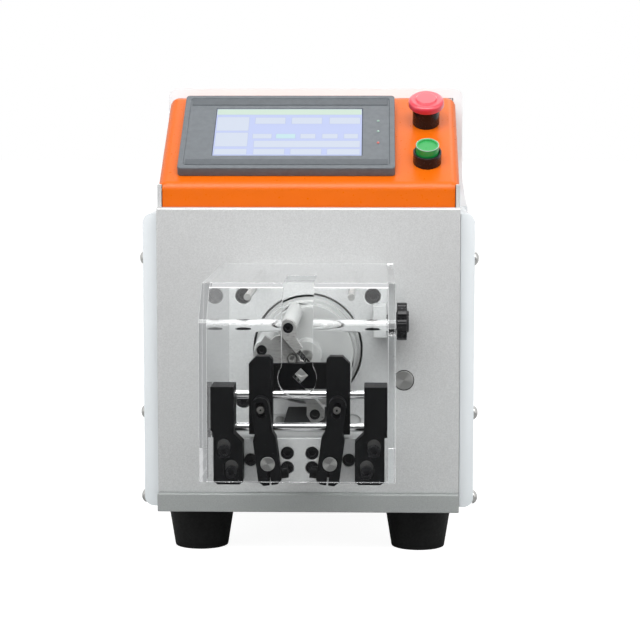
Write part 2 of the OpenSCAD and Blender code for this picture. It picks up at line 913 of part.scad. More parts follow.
module clamp_screws() {
  color("dimgray") placed() {
    for (x = block_screw_x, z = block_screw_z)
      cap_screw(4, block_depth - screw_sink + 8, x, block_y + screw_sink - 4, z);
    both_sides() {
      cap_screw(4, 12, side_screw_x, block_y + screw_sink - 4, lever_z);
      for (i = [0, 1])
        cap_screw(4, 12, post_screw_x[i], post_y + screw_sink - 4, post_screw_z[i]);
    }
  }
}

// The right-hand clamp post, with two slots for its screws and bores for the jaw rods
module post() {
  step_z = block_top + 4.4;
  low_out = post_out - 1.5;
  chamfer = 2;
  difference() {
    union() {
      slab_xz(post_y, block_y)
        polygon([[post_x, post_top], [post_out, post_top], [post_out, step_z + 2], [low_out, step_z],
          [low_out, post_z + chamfer], [low_out - chamfer, post_z], [post_low_x + chamfer, post_z],
          [post_low_x, post_z + chamfer], [post_low_x, step_z - 5.1], [post_x, step_z]]);
      box([post_x, block_y - over, block_top + gap], [post_out, post_back, post_top]);
    }
    for (i = [0, 1]) {
      slab_xz(post_y - over, post_y + screw_sink)
        upright_slot(7.5, post_screw_x[i], post_screw_z[i], post_screw_z[i] + post_slot);
      slab_xz(post_y, block_y + over)
        upright_slot(4.3, post_screw_x[i], post_screw_z[i], post_screw_z[i] + post_slot);
    }
    for (z = rod_z)
      bar_x(jaw_rod_d + 2 * fit, post_x - over, post_x + post_w * 0.6, rod_y, z);
  }
}

module left_post() {
  color("black") placed() mirror([1, 0, 0]) post();
}

module right_post() {
  color("black") placed() post();
}

module jaw_rods() {
  end = post_x + post_w * 0.6;
  color("silver") placed()
    for (z = rod_z)
      bar_x(jaw_rod_d, -end, end, rod_y, z);
}

module lever_bushes() {
  color("goldenrod") placed() both_sides() difference() {
    union() {
      bar_y(lever_shaft_d + 4 - 2 * fit, block_y - over, block_back, lever_x, lever_z);
      bar_y(lever_low_w - 1, block_y - flange_t, block_y, lever_x, lever_z);
    }
    bar_y(lever_shaft_d + 2 * fit, block_y - flange_t - over, block_back + over, lever_x, lever_z);
  }
}

module motor_bracket() {
  top = lever_z + motor_side / 2;
  color("gainsboro") placed() difference() {
    union() {
      box([-lever_x - motor_side / 2, bracket_y, base_z], [lever_x + 10, bracket_y + bracket_t, top]);
      box([-lever_x - motor_side / 2, bracket_y, base_z], [lever_x + 10, bracket_y + 30, base_z + 6]);
    }
    both_sides()
      bar_y(lever_shaft_d + 2 * fit, bracket_y - over, bracket_y + bracket_t + over, lever_x, lever_z);
  }
}

// A square stepping motor along Y with its mounting face at y and end caps at both ends
module stepping_motor(w, len, x, y, z) {
  cap = len * 0.22;
  corner = w * 0.1;
  slab_xz_at(x, z, y, y + cap)
    round_rect(-w / 2, w / 2, -w / 2, w / 2, corner);
  slab_xz_at(x, z, y + cap - 0.01, y + len - cap + 0.01)
    round_rect(-w * 0.48, w * 0.48, -w * 0.48, w * 0.48, corner * 1.6);
  slab_xz_at(x, z, y + len - cap, y + len)
    round_rect(-w / 2, w / 2, -w / 2, w / 2, corner);
}

module slab_xz_at(x, z, y0, y1) {
  translate([x, 0, z])
    slab_xz(y0, y1)
      children();
}

module clamp_motor() {
  y = bracket_y + bracket_t;
  color("dimgray") placed() difference() {
    stepping_motor(motor_side - 0.5, clamp_motor_len, -lever_x, y, lever_z);
    bar_y(lever_shaft_d + 2 * fit, y - over, shaft_end + gap, -lever_x, lever_z);
  }
}

module feed_motor() {
  y = bearing_y + bearing_t;
  color("dimgray") placed() difference() {
    stepping_motor(feed_motor_w, feed_motor_len, -screw_x, y, feed_z);
    bar_y(screw_d + 2 * fit, y - over, y + feed_motor_len - 8, -screw_x, feed_z);
  }
}

supply_y = bearing_y + bearing_t + 8;

module power_supply() {
  w = 70;
  h = 38;
  x = half_w - frame_t - 8 - w;
  end = panel_y - 34;
  color("silver") placed() difference() {
    box([x, supply_y, base_z], [x + w, end, base_z + h]);
    for (i = [0 : 5])
      box([x + 8 + 10 * i, supply_y + 8, base_z + h - 2], [x + 13 + 10 * i, end - 8, base_z + h + over]);
  }
}

module control_board() {
  w = 72;
  x = -half_w + frame_t + 8;
  y = supply_y;
  end = panel_y - 20;
  lift = 8;
  top = base_z + lift + 1.6;
  color("darkgreen") placed() {
    box([x, y, base_z + lift], [x + w, end, top]);
    for (dx = [5, w - 5], dy = [y + 5, end - 5])
      translate([x + dx, dy, base_z])
        cylinder(d = 6, h = lift);
    for (i = [0 : 4])
      box([x + 4 + 13 * i, y + 2, top], [x + 14 + 13 * i, y + 12, top + 11]);
    box([x + 10, y + 20, top], [x + 34, y + 44, top + 14]);
    box([x + 42, y + 22, top], [x + 60, y + 40, top + 3]);
  }
}

module inlet_module() {
  socket_w = 24.4;
  socket_h = 16.4;
  socket_z = inlet_z - 10;
  pin_d = 4;
  front = body_depth + inlet_proud;
  color("black") placed() {
    difference() {
      union() {
        slab_xz(body_depth, front)
          translate([inlet_x, inlet_z])
            round_rect(-inlet_w / 2, inlet_w / 2, -inlet_h / 2, inlet_h / 2, 3);
        box([inlet_x - inlet_w / 2 + 2 + gap, panel_y - 26, inlet_z - inlet_h / 2 + 2 + gap],
          [inlet_x + inlet_w / 2 - 2 - gap, body_depth + over, inlet_z + inlet_h / 2 - 2 - gap]);
      }
      box([inlet_x - socket_w / 2, front - 17, socket_z - socket_h / 2],
        [inlet_x + socket_w / 2, front + over, socket_z + socket_h / 2]);
      box([inlet_x - switch_w / 2 - gap, front - 14, inlet_z + switch_dz - switch_h / 2 - gap],
        [inlet_x + switch_w / 2 + gap, front + over, inlet_z + switch_dz + switch_h / 2 + gap]);
    }
    for (i = [-1 : 1])
      box([inlet_x + 7 * i - 1, front - 17 - over, socket_z - 2 + (i == 0 ? 3 : 0)],
        [inlet_x + 7 * i + 1, front - 4, socket_z - 2 + pin_d + (i == 0 ? 3 : 0)]);
  }
}

module power_switch() {
  pivot_y = body_depth + inlet_proud - rocker_sink;
  pivot_r = 2.4;
  dip = 1.4;
  color("black") placed()
    translate([inlet_x, pivot_y, inlet_z + switch_dz])
      rotate([0, 0, -rocker_angle])
        linear_extrude(switch_h - 1, center = true) {
          polygon([[-rocker_half, 1], [rocker_half, 1], [rocker_half, rocker_tip], [0, rocker_tip - dip],
            [-rocker_half, rocker_tip]]);
          circle(pivot_r);
        }
}

module guard_bracket() {
  wall_x = guard_x - guard_t - gap;
  color("gainsboro") placed() difference() {
    box([wall_x - 8, knob_y - 9, knob_z - 9], [wall_x, 0, knob_z + 9]);
    bar_x(stud_d + 2 * fit, wall_x - 8 - over, wall_x + over, knob_y, knob_z);
  }
}

module guard_rods() {
  color("silver") placed() both_sides()
    bar_y(guard_rod_d, -guard_rod_len, plate_t, rod_x, guard_rod_z);
}

motor_pilot_d = 38;

module carriage() {
  top = motor_z + spindle_motor_w / 2 + 1;
  belly = lever_z + motor_side / 2 + 2;
  low = guide_z - bush_r - 3;
  arch_x = guide_x - bush_r - 3;
  color("silver") placed() difference() {
    union() {
      slab_xz(carriage_y, carriage_y + carriage_t) difference() {
        union() {
          translate([-carriage_w, low])
            square([2 * carriage_w, feed_z + nut_r + 7 - low]);
          translate([-spindle_motor_w / 2 - 2, low])
            square([spindle_motor_w + 4, top - low]);
        }
        translate([-arch_x, low - over])
          square([2 * arch_x, belly - low + over]);
      }
      bar_y(2 * housing_r, carriage_y, carriage_y + carriage_t + housing_len, 0, axis_z);
    }
    bar_y(bearing_d - 4, carriage_y - over, carriage_y + carriage_t + housing_len + over, 0, axis_z);
    bar_y(bearing_d + 2 * fit, carriage_y - over, carriage_y + bearing_w, 0, axis_z);
    bar_y(bearing_d + 2 * fit, carriage_y + carriage_t + housing_len - bearing_w,
      carriage_y + carriage_t + housing_len + over, 0, axis_z);
    bar_y(motor_pilot_d, carriage_y - over, carriage_y + carriage_t + over, 0, motor_z);
    both_sides()
      bar_y(2 * (bush_r + fit), carriage_y - over, carriage_y + carriage_t + over, guide_x, guide_z);
    bar_y(2 * (nut_r + fit), carriage_y - over, carriage_y + carriage_t + over, -screw_x, feed_z);
    at_tie_rods()
      bar_y(tie_d + 4, carriage_y - over, carriage_y + carriage_t + over, 0, 0);
  }
}

module linear_bushes() {
  y = carriage_y + carriage_t / 2 - bush_len / 2;
  color("silver") placed() both_sides() difference() {
    bar_y(2 * bush_r, y, y + bush_len, guide_x, guide_z);
    bar_y(guide_d + 2 * fit, y - over, y + bush_len + over, guide_x, guide_z);
  }
}

module spindle_bearings() {
  color("silver") placed()
    for (y = [carriage_y, carriage_y + carriage_t + housing_len - bearing_w])
      difference() {
        bar_y(bearing_d, y, y + bearing_w, 0, axis_z);
        bar_y(spindle_d + 2 * fit, y - over, y + bearing_w + over, 0, axis_z);
        for (face = [y - over, y + bearing_w - 0.6])
          difference() {
            bar_y(bearing_d - 4, face, face + over + 0.6, 0, axis_z);
            bar_y(spindle_d + 4, face - over, face + 3 * over, 0, axis_z);
          }
      }
}

module feed_nut() {
  flange = 4;
  end = carriage_y + carriage_t + flange;
  color("goldenrod") placed() difference() {
    union() {
      bar_y(2 * nut_r, carriage_y, end, -screw_x, feed_z);
      bar_y(2 * nut_r + 8, carriage_y + carriage_t, end, -screw_x, feed_z);
    }
    bar_y(screw_d + 2 * fit, carriage_y - over, end + over, -screw_x, feed_z);
  }
}

motor_shaft_d = 8;

module spindle_motor() {
  y = carriage_y + carriage_t;
  color("dimgray") placed() difference() {
    union() {
      stepping_motor(spindle_motor_w, spindle_motor_len, 0, y, motor_z);
      bar_y(motor_pilot_d - 2 * fit, y - 1.6, y + over, 0, motor_z);
    }
    bar_y(motor_shaft_d + 2 * fit, y - 2 * over, y + 22, 0, motor_z);
  }
}

// The outline round two pulleys, grown by some distance
module belt_outline(grow) {
  big = driven_pulley_d / 2 + grow;
  small = motor_pulley_d / 2 + grow;
  lean = asin((big - small) / motor_rise);
  circle(big);
  translate([0, motor_rise])
    circle(small);
  polygon([[big * cos(lean), big * sin(lean)], [small * cos(lean), motor_rise + small * sin(lean)],
    [-small * cos(lean), motor_rise + small * sin(lean)], [-big * cos(lean), big * sin(lean)]]);
}

module drive_belt() {
  color("black") placed()
    slab_xz_at(0, axis_z, pulley_y + 1.5, pulley_y + pulley_t - 1.5) difference() {
      belt_outline(gap + belt_t);
      belt_outline(gap);
    }
}

module feed_screw() {
  y = bearing_y + bearing_t;
  color("silver") placed()
    bar_y(screw_d, plate_t / 2 + gap, y + feed_motor_len - 8 - gap, -screw_x, feed_z);
}

// The four pivots of the head: two for the blade arms and two for the centring jaws
function pivot(r, angle) = [r * cos(angle), r * sin(angle)];

module at_pivot(r, angle) {
  p = pivot(r, angle);
  translate([p[0], 0, axis_z + p[1]])
    rotate([0, 180 - angle, 0])
      children();
}

module pillar(r, angle, front) {
  p = pivot(r, angle);
  bar_y(pillar_d, front, disc_end, p[0], axis_z + p[1]);
}

// The turned head: a stepped disc with its hub and spindle, and four pillars for the arms
module rotor_head() {
  color("silver") placed() difference() {
    union() {
      for (step = disc_steps)
        bar_y(2 * (disc_r - step[0]), disc_y - step[1], disc_end, 0, axis_z);
      bar_y(spindle_d, disc_end - over, spindle_end, 0, axis_z);
      bar_y(2 * hub_r, -hub_reach, disc_end, 0, axis_z);
      for (half = [0, 180]) {
        pillar(blade_pivot_r, blade_angle + half, blade_y + blade_arm_t + gap);
        pillar(centring_pivot_r, centring_angle + half, centring_y + centring_t + gap);
      }
    }
    bar_y(cable_bore, -hub_reach - over, spindle_end + over, 0, axis_z);
    for (half = [0, 180]) {
      pivot_thread_bore(blade_pivot_r, blade_angle + half, blade_y + blade_arm_t);
      pivot_thread_bore(centring_pivot_r, centring_angle + half, centring_y + centring_t);
    }
  }
}

// The bore in a pillar for the shoulder screw, behind an arm that ends at y
module pivot_thread_bore(r, angle, y) {
  p = pivot(r, angle);
  bar_y(pivot_shank_d + 2 * fit, y, y + gap + pivot_thread + 2, p[0], axis_z + p[1]);
}

module driven_pulley() {
  color("silver") placed() difference() {
    union() {
      bar_y(driven_pulley_d, pulley_y + gap, pulley_y + pulley_t - gap, 0, axis_z);
      for (y = [pulley_y, pulley_y + pulley_t - 1])
        bar_y(driven_pulley_d + 4, y, y + 1, 0, axis_z);
    }
    bar_y(spindle_d + 2 * fit, pulley_y - over, pulley_y + pulley_t + over, 0, axis_z);
  }
}

// A shoulder screw that an arm turns on, with its head sunk in the arm
module pivot_screw(r, angle, y, t) {
  p = pivot(r, angle);
  sunk = 0.3;
  translate([p[0], 0, axis_z + p[1]])
    difference() {
      union() {
        bar_y(pivot_d, y + sunk, y + pivot_head, 0, 0);
        bar_y(pivot_shank_d, y + pivot_head - over, y + t + gap + pivot_thread, 0, 0);
      }
      hex_socket(2.9, y, 1.8);
    }
}

// A hexagon socket from y on, round the origin
module hex_socket(across, y, depth) {
  translate([0, y, 0])
    rotate([-90, 0, 0])
      cylinder(d = across, h = depth, $fn = 6);
}

module pivot_screws() {
  color("black") placed()
    for (half = [0, 180]) {
      pivot_screw(blade_pivot_r, blade_angle + half, blade_y, blade_arm_t);
      pivot_screw(centring_pivot_r, centring_angle + half, centring_y, centring_t);
    }
}

// The sunk bore of an arm for its shoulder screw
module pivot_bore(y, t) {
  bar_y(pivot_d + 2 * fit, y - over, y + pivot_head + fit, 0, 0);
  bar_y(pivot_shank_d + 2 * fit, y, y + t + over, 0, 0);
}

// A blade arm in its own frame: the pivot at the origin and X along the arm's edge
module blade_arm(half) {
  rear = blade_y + blade_arm_t;
  at_pivot(blade_pivot_r, blade_angle + half)
    rotate([0, -blade_tilt, 0])
      difference() {
        slab_xz(blade_y, rear)
          polygon([[-5.2, -2.5], [-4.6, 2.6], [-1.7, 4.5], [2.8, 3.9], [7.2, -0.2], [arm_end, -1.2],
            [arm_end, blade_edge], [-1.5, blade_edge]]);
        pivot_bore(blade_y, blade_arm_t);
        box([blade_seat_x, rear - blade_t - gap, blade_edge - over],
          [arm_end + over, rear + over, blade_edge + blade_w + gap]);
      }
}

module blade_arm_a() {
  color("silver") placed() blade_arm(0);
}

module blade_arm_b() {
  color("silver") placed() blade_arm(180);
}

// A blade, bevelled behind to its edge, seated in the arm's rear step
module blade(half) {
  y = blade_y + blade_arm_t - gap;
  bevel = 1.2;
  start = blade_seat_x + gap / 2;
  at_pivot(blade_pivot_r, blade_angle + half)
    rotate([0, -blade_tilt, 0])
      slab_yz(start, arm_len)
        polygon([[y - blade_t, blade_edge + blade_w], [y, blade_edge + blade_w], [y, blade_edge + bevel],
          [y - blade_t, blade_edge]]);
}

module blade_a() {
  color("whitesmoke") placed() blade(0);
}

module blade_b() {
  color("whitesmoke") placed() blade(180);
}

// A centring jaw: a broad angular plate with a shallow notch for the cable and a sunk cap screw
module centring_jaw(half) {
  reach = centring_pivot_r * cos(centring_tilt);
  screw = [18, -3.1];
  screw_d = 5.2;
  sink = 2.8;
  at_pivot(centring_pivot_r, centring_angle + half)
    rotate([0, -centring_tilt, 0])
      difference() {
        slab_xz(centring_y, centring_y + centring_t) difference() {
          polygon([[-4.4, -1.6], [-3.4, -5.2], [16, centring_edge - 0.8], [arm_len, centring_edge],
            [arm_len, centring_edge + 1.2], [22.8, -3.6], [20.4, 1.4], [10.1, 9.6], [7.1, 9.3], [4.8, 6.6],
            [1, 8.7]]);
          translate([reach, centring_edge - 2.4])
            circle(3);
        }
        pivot_bore(centring_y, centring_t);
        translate([screw[0], 0, screw[1]]) {
          difference() {
            bar_y(screw_d + 1, centring_y - over, centring_y + sink, 0, 0);
            bar_y(screw_d, centring_y + 0.4, centring_y + sink + over, 0, 0);
          }
          hex_socket(3, centring_y, 2);
        }
      }
}

module centring_jaw_a() {
  color("silver") placed() centring_jaw(0);
}

module centring_jaw_b() {
  color("silver") placed() centring_jaw(180);
}

module motor_pulley() {
  y = carriage_y + carriage_t;
  color("silver") placed() {
    bar_y(motor_pulley_d, pulley_y + gap, pulley_y + pulley_t - gap, 0, motor_z);
    for (e = [pulley_y, pulley_y + pulley_t - 1])
      bar_y(motor_pulley_d + 4, e, e + 1, 0, motor_z);
    bar_y(motor_shaft_d, pulley_y, y + 22 - gap, 0, motor_z);
  }
}

// A frame on the right-hand lever: the pivot at the origin and Z along the lever
module on_lever() {
  translate([lever_x, 0, lever_z])
    rotate([0, lever_lean, 0])
      children();
}

lever_low = 12.2;
pinch_z = -6.3;
pinch_y = lever_y + lever_t / 2;
pinch_d = 4;

// The right-hand lever, slotted for its drive pin and split below to grip its shaft
module lever() {
  top_r = lever_top_w / 2;
  low = lever_low_w / 2;
  waist = lever_arm * 0.45;
  chamfer = 2.5;
  slot = drive_pin_d + 0.5;
  on_lever() {
    difference() {
      slab_xz(lever_y, lever_back) difference() {
        union() {
          translate([0, lever_arm + 2])
            circle(top_r);
          polygon([[-top_r, lever_arm + 2], [-top_r, waist + 4], [-low, waist], [-low, chamfer - lever_low],
            [chamfer - low, -lever_low], [low - chamfer, -lever_low], [low, chamfer - lever_low],
            [low, waist], [top_r, waist + 4], [top_r, lever_arm + 2]]);
        }
        upright_slot(slot, 0, lever_arm - 2.5, lever_arm + 2);
        translate([-0.5, -lever_low - over])
          square([1, lever_low]);
      }
      bar_y(lever_shaft_d + 2 * fit, lever_y - over, lever_back + over, 0, 0);
      bar_x(pinch_d + 0.4, -low - over, low + over, pinch_y, pinch_z);
    }
    translate([-low, pinch_y, pinch_z])
      rotate([0, 90, 0]) difference() {
        union() {
          translate([0, 0, -pinch_d])
            cylinder(d = 1.75 * pinch_d, h = pinch_d);
          translate([0, 0, -over])
            cylinder(d = pinch_d, h = lever_low_w - 1 + over);
        }
        translate([0, 0, -pinch_d - over])
          cylinder(d = pinch_d * 0.8, h = over + pinch_d * 0.6, $fn = 6);
      }
  }
}

module left_lever() {
  color("black") placed() mirror([1, 0, 0]) lever();
}

module right_lever() {
  color("black") placed() lever();
}

// Part of a spur gear: the teeth that face the other shaft, and a hub round its own
module gear_segment(turn) {
  m = lever_pitch / gear_teeth;
  root = lever_pitch / 2 - 1.25 * m;
  tip = lever_pitch / 2 + 0.9 * m;
  pitch_angle = 360 / gear_teeth;
  function tooth(r, share, i) = [r * cos((i + share) * pitch_angle), r * sin((i + share) * pitch_angle)];
  intersection() {
    union() {
      circle(root);
      for (i = [0 : gear_teeth - 1])
        rotate(turn)
          polygon([[0, 0], tooth(root, -0.31, i), tooth(lever_pitch / 2, -0.215, i), tooth(tip, -0.1, i),
            tooth(tip, 0.1, i), tooth(lever_pitch / 2, 0.215, i), tooth(root, 0.31, i)]);
    }
    square([3 * lever_pitch, 18], center = true);
  }
}

module gear_shaft(side, end, turn) {
  bar_y(lever_shaft_d, lever_y, end, side * lever_x, lever_z);
  slab_xz_at(side * lever_x, lever_z, gear_y, gear_y + gear_t)
    gear_segment(turn);
}

module left_gear_shaft() {
  color("silver") placed() gear_shaft(-1, shaft_end, 0);
}

module right_gear_shaft() {
  color("silver") placed() gear_shaft(1, bracket_y + bracket_t, 0);
}

// The right-hand jaw: an upright on the jaw rods, a drive pin and a plate with a notch for the cable
module jaw(plate_y) {
  apex = jaw_opening / 2;
  half_h = jaw_h / 2;
  tip = apex - half_h;
  far = upright_x + upright_w;
  outer_cut = 4.2;
  inner_cut = 2;
  difference() {
    union() {
      slab_xz(upright_y, upright_back)
        polygon([[upright_x, upright_z], [far, upright_z], [far, upright_top - outer_cut],
          [far - outer_cut, upright_top], [upright_x + inner_cut, upright_top],
          [upright_x, upright_top - inner_cut]]);
      slab_xz(plate_y, plate_y + jaw_t)
        polygon([[far, jaw_z - half_h], [far, jaw_z + half_h], [tip, jaw_z + half_h], [apex, jaw_z],
          [tip, jaw_z - half_h]]);
      box([upright_x + 2, upright_back - over, jaw_z - half_h], [far, plate_y + over, jaw_z + half_h]);
      bar_y(drive_pin_d, lever_y - 1, upright_y + over, pin_x, pin_z);
    }
    for (z = rod_z)
      bar_x(jaw_rod_d + 2 * fit, upright_x - over, far + over, rod_y, z);
  }
}

module left_jaw() {
  color("black") placed() mirror([1, 0, 0]) jaw(upright_back + gap);
}

module right_jaw() {
  color("black") placed() jaw(upright_back + 2 * gap + jaw_t);
}

// The guard in side view, drawn in by a wall
module guard_side(wall) {
  run = norm([facet_depth, facet_h]);
  grow_y = wall * (run - facet_depth) / facet_h;
  grow_z = wall * (run - facet_h) / facet_depth;
  back = wall > 0 ? over : -gap;
  low = wall > 0 ? guard_z - over : guard_z;
  top = guard_top - wall;
  front = guard_y + wall;
  polygon([[back, low], [back, top], [guard_y + facet_depth + grow_y, top],
    [front, guard_top - facet_h - grow_z], [front, low]]);
}

module guard() {
  slot_z = axis_z + keyhole_rise;
  stud_slot = stud_d + 2 * gap;
  color("lightcyan", 0.4) placed() difference() {
    slab_yz(-guard_x, guard_x)
      guard_side(0);
    slab_yz(guard_t - guard_x, guard_x - guard_t)
      guard_side(guard_t);
    box([-slot_w / 2, guard_y - over, slot_z], [slot_w / 2, -slot_start, guard_top + over]);
    bar_y(keyhole_d, guard_y - over, guard_y + guard_t + over, 0, slot_z);
    bar_x(stud_slot, guard_x - guard_t - over, guard_x + over, knob_y, knob_z);
    box([guard_x - guard_t - over, knob_y, knob_z - stud_slot / 2],
      [guard_x + over, over, knob_z + stud_slot / 2]);
  }
}

module star_knob() {
  lobes = 7;
  boss_d = 11.7;
  boss_x = guard_x + gap;
  knob_x = boss_x + 1.6;
  stud_x = guard_x - guard_t - gap - 8;
  color("black") placed() {
    translate([knob_x, knob_y, knob_z])
      rotate([0, 90, 0])
        linear_extrude(knob_t)
          difference() {
            circle(d = knob_d);
            for (i = [0 : lobes - 1])
              rotate(360 / lobes * i)
                translate([knob_d / 2 + 1.1, 0])
                  circle(2.9);
          }
    bar_x(boss_d, boss_x, knob_x + over, knob_y, knob_z);
    bar_x(boss_d + 2, knob_x, knob_x + knob_t + 1.2, knob_y, knob_z);
    bar_x(stud_d, stud_x, boss_x + over, knob_y, knob_z);
  }
}

base_plate();
rubber_feet();
front_plate();
side_frames();
rear_panel();
outer_cover();
cover_screws();
console_panel();
screen_bezel();
screen_glass();
stop_collar();
start_bezel();
plate_screws();
tie_rods();
bearing_plate();
guide_shafts();
support_beam();
clamp_block();
clamp_screws();
left_post();
right_post();
jaw_rods();
lever_bushes();
motor_bracket();
clamp_motor();
feed_motor();
power_supply();
control_board();
inlet_module();
guard_bracket();
guard_rods();
carriage();
linear_bushes();
spindle_bearings();
feed_nut();
spindle_motor();
drive_belt();
feed_screw();
rotor_head();
driven_pulley();
pivot_screws();
motor_pulley();
blade_arm_a();
blade_a();
blade_arm_b();
blade_b();
centring_jaw_a();
centring_jaw_b();
left_lever();
left_gear_shaft();
right_lever();
right_gear_shaft();
left_jaw();
right_jaw();
guard();
star_knob();
stop_stem();
stop_mushroom();
start_button();
power_switch();
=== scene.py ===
# %% [markdown]
# # A coaxial cable stripping machine
# This lesson dresses a bench machine that strips coaxial cable. The solids come from the packed
# CAD model, one object for each node, all at the origin with their place in their vertices. Here
# they get soft edges, finishes and the small pieces that belong to the looks alone.

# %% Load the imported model
import json
import math

import bmesh
import bpy
from mathutils import Matrix, Vector


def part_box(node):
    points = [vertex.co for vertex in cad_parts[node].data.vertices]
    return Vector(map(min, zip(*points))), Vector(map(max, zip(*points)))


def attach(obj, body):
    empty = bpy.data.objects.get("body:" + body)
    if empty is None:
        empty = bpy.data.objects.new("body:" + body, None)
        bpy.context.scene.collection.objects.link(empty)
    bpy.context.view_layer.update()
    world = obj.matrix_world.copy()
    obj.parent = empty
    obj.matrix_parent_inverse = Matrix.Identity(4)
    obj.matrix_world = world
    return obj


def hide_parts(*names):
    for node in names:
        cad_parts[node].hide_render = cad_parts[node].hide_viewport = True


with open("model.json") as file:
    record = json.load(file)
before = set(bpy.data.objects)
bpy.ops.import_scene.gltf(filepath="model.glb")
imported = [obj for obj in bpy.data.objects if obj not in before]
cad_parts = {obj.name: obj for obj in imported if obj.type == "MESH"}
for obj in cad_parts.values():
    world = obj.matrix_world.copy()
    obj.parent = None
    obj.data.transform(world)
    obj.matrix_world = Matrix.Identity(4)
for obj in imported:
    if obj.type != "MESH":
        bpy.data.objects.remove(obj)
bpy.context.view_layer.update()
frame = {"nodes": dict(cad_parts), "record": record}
nodes = frame["nodes"]
slot_of = {row["node"]: row["material_slot"] for row in frame["record"]["subparts"]}

# %% [markdown]
# ## Working frame
# The drawings of the machine measure from the face of the front plate and from the bench, in
# millimetres. Blender works in metres from the middle of the machine's box, so one helper turns a
# drawing point into a Blender point, and a second one does it for the sloping console.

# %% Points from the drawings
PLATE_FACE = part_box("front_plate")[0].y
LIP_SETBACK, FRAME_TOP, SLOPE = 9.6, 233.8, math.radians(33.1)
SLOPE_TURN = Matrix.Rotation(SLOPE, 4, "X")


def at(x, y, z):
    """A point of the drawings, in millimetres, as a Blender point."""
    return Vector((x / 1000, PLATE_FACE + y / 1000, z / 1000))


def on_slope(x, u, h):
    """A point x across the console, u up its slope and h out of it."""
    y = LIP_SETBACK + u * math.cos(SLOPE) - h * math.sin(SLOPE)
    return at(x, y, FRAME_TOP + u * math.sin(SLOPE) + h * math.cos(SLOPE))


print("front plate at y =", round(PLATE_FACE, 4))

# %% [markdown]
# ## Camera
# The picture was taken with a long lens from a little to the right and a little above. The camera's
# place, its two turns and its lens were worked out from straight edges of known length.

# %% Camera
LENS, SENSOR = 113.25, 36
CAMERA_PLACE = (43.0, -1255.5, 275.3)
LOOK_DOWN, LOOK_LEFT = 5.73, 1.62
camera_data = bpy.data.cameras.new("camera")
camera_data.sensor_fit = "HORIZONTAL"
camera_data.sensor_width = SENSOR
camera_data.lens = LENS
camera = bpy.data.objects.new("camera", camera_data)
camera.location = at(*CAMERA_PLACE)
camera.rotation_euler = (math.radians(90 - LOOK_DOWN), 0, math.radians(LOOK_LEFT))
bpy.context.scene.collection.objects.link(camera)
bpy.context.scene.camera = camera
print("camera at", [round(v, 3) for v in camera.location])

# %% [markdown]
# ## Light and floor
# A product picture on white has large soft lamps: one overhead and in front, a weaker one at each
# side, and one from behind for the top of the hood. Area lamps are used, because their size alone
# decides how soft the shadows are.

# %% Lamps
LAMPS = (
    # name, place, target, size in metres, watts
    ("overhead_lamp", (0.0, -0.6, 0.85), (0, -0.05, 0.2), (1.0, 0.5), 9.5),
    ("left_lamp", (-1.3, -0.7, 0.7), (0, 0, 0.15), (0.8, 0.8), 4.5),
    ("right_lamp", (1.3, -0.6, 0.7), (0, 0, 0.15), (0.8, 0.8), 4.5),
    ("top_lamp", (0.15, 0.75, 1.2), (0, 0.05, 0.25), (1.0, 0.5), 4.5),
)
bpy.context.scene.view_settings.view_transform = "Standard"
for name, place, target, size, watts in LAMPS:
    lamp = bpy.data.lights.new(name, "AREA")
    lamp.shape = "RECTANGLE"
    lamp.size, lamp.size_y = size
    lamp.energy = watts
    holder = bpy.data.objects.new(name, lamp)
    holder.location = place
    aim = Vector(target) - Vector(place)
    holder.rotation_euler = aim.to_track_quat("-Z", "Y").to_euler()
    bpy.context.scene.collection.objects.link(holder)

# %% [markdown]
# ### The room
# The room shows white to the camera, and to what metal and glass mirror, through the Light Path
# node, so the white needs no extra light on the machine: dull surfaces get a third of it. Straight
# in front the room is dark, as it is behind a photographer, so that black pieces stay black.

# %% Helpers for the room
def node(tree, kind, **values):
    """A shader node with some of its settings."""
    made = tree.nodes.new("ShaderNode" + kind)
    for key, value in values.items():
        setattr(made, key, value)
    return made


def worked(tree, operation, first, second):
    """A Math node on a socket and on a second socket or a plain number."""
    made = node(tree, "Math", operation=operation)
    tree.links.new(first, made.inputs[0])
    if isinstance(second, float):
        made.inputs[1].default_value = second
    else:
        tree.links.new(second, made.inputs[1])
    return made.outputs[0]


def shown_white(tree, back):
    """How white the room shows: 1 to the camera, and by mirrors and glass where back is 1."""
    rays = node(tree, "LightPath").outputs
    by_way = worked(tree, "MAXIMUM", rays["Is Glossy Ray"], rays["Is Transmission Ray"])
    seen = worked(tree, "MULTIPLY", by_way, back)
    return worked(tree, "MAXIMUM", rays["Is Camera Ray"], seen)


def fade(tree, vector, start, end, least=0.0):
    """least to 1 along the Y of a vector, from the front of the room to its back."""
    parts = node(tree, "SeparateXYZ")
    tree.links.new(vector, parts.inputs["Vector"])
    ramp = node(tree, "MapRange")
    ramp.inputs["From Min"].default_value = start
    ramp.inputs["From Max"].default_value = end
    ramp.inputs["To Min"].default_value = least
    tree.links.new(parts.outputs["Y"], ramp.inputs["Value"])
    return ramp.outputs["Result"]


print("room helpers ready")

# %% Room
ROOM_LIGHT = 0.34
DARK_WITHIN, WHITE_BEYOND, DARKEST = -0.96, -0.7, 0.06
world = bpy.data.worlds.new("white_room")
bpy.context.scene.world = world
world.use_nodes = True
room = world.node_tree
toward = node(room, "TexCoord").outputs["Generated"]
dull = node(room, "LightPath").outputs["Is Diffuse Ray"]
bright = shown_white(room, fade(room, toward, DARK_WITHIN, WHITE_BEYOND, DARKEST))
strength = worked(room, "MAXIMUM", bright, worked(room, "MULTIPLY", dull, ROOM_LIGHT))
room.nodes["Background"].inputs["Color"].default_value = (1, 1, 1, 1)
room.links.new(strength, room.nodes["Background"].inputs["Strength"])
print("room:", world.name)

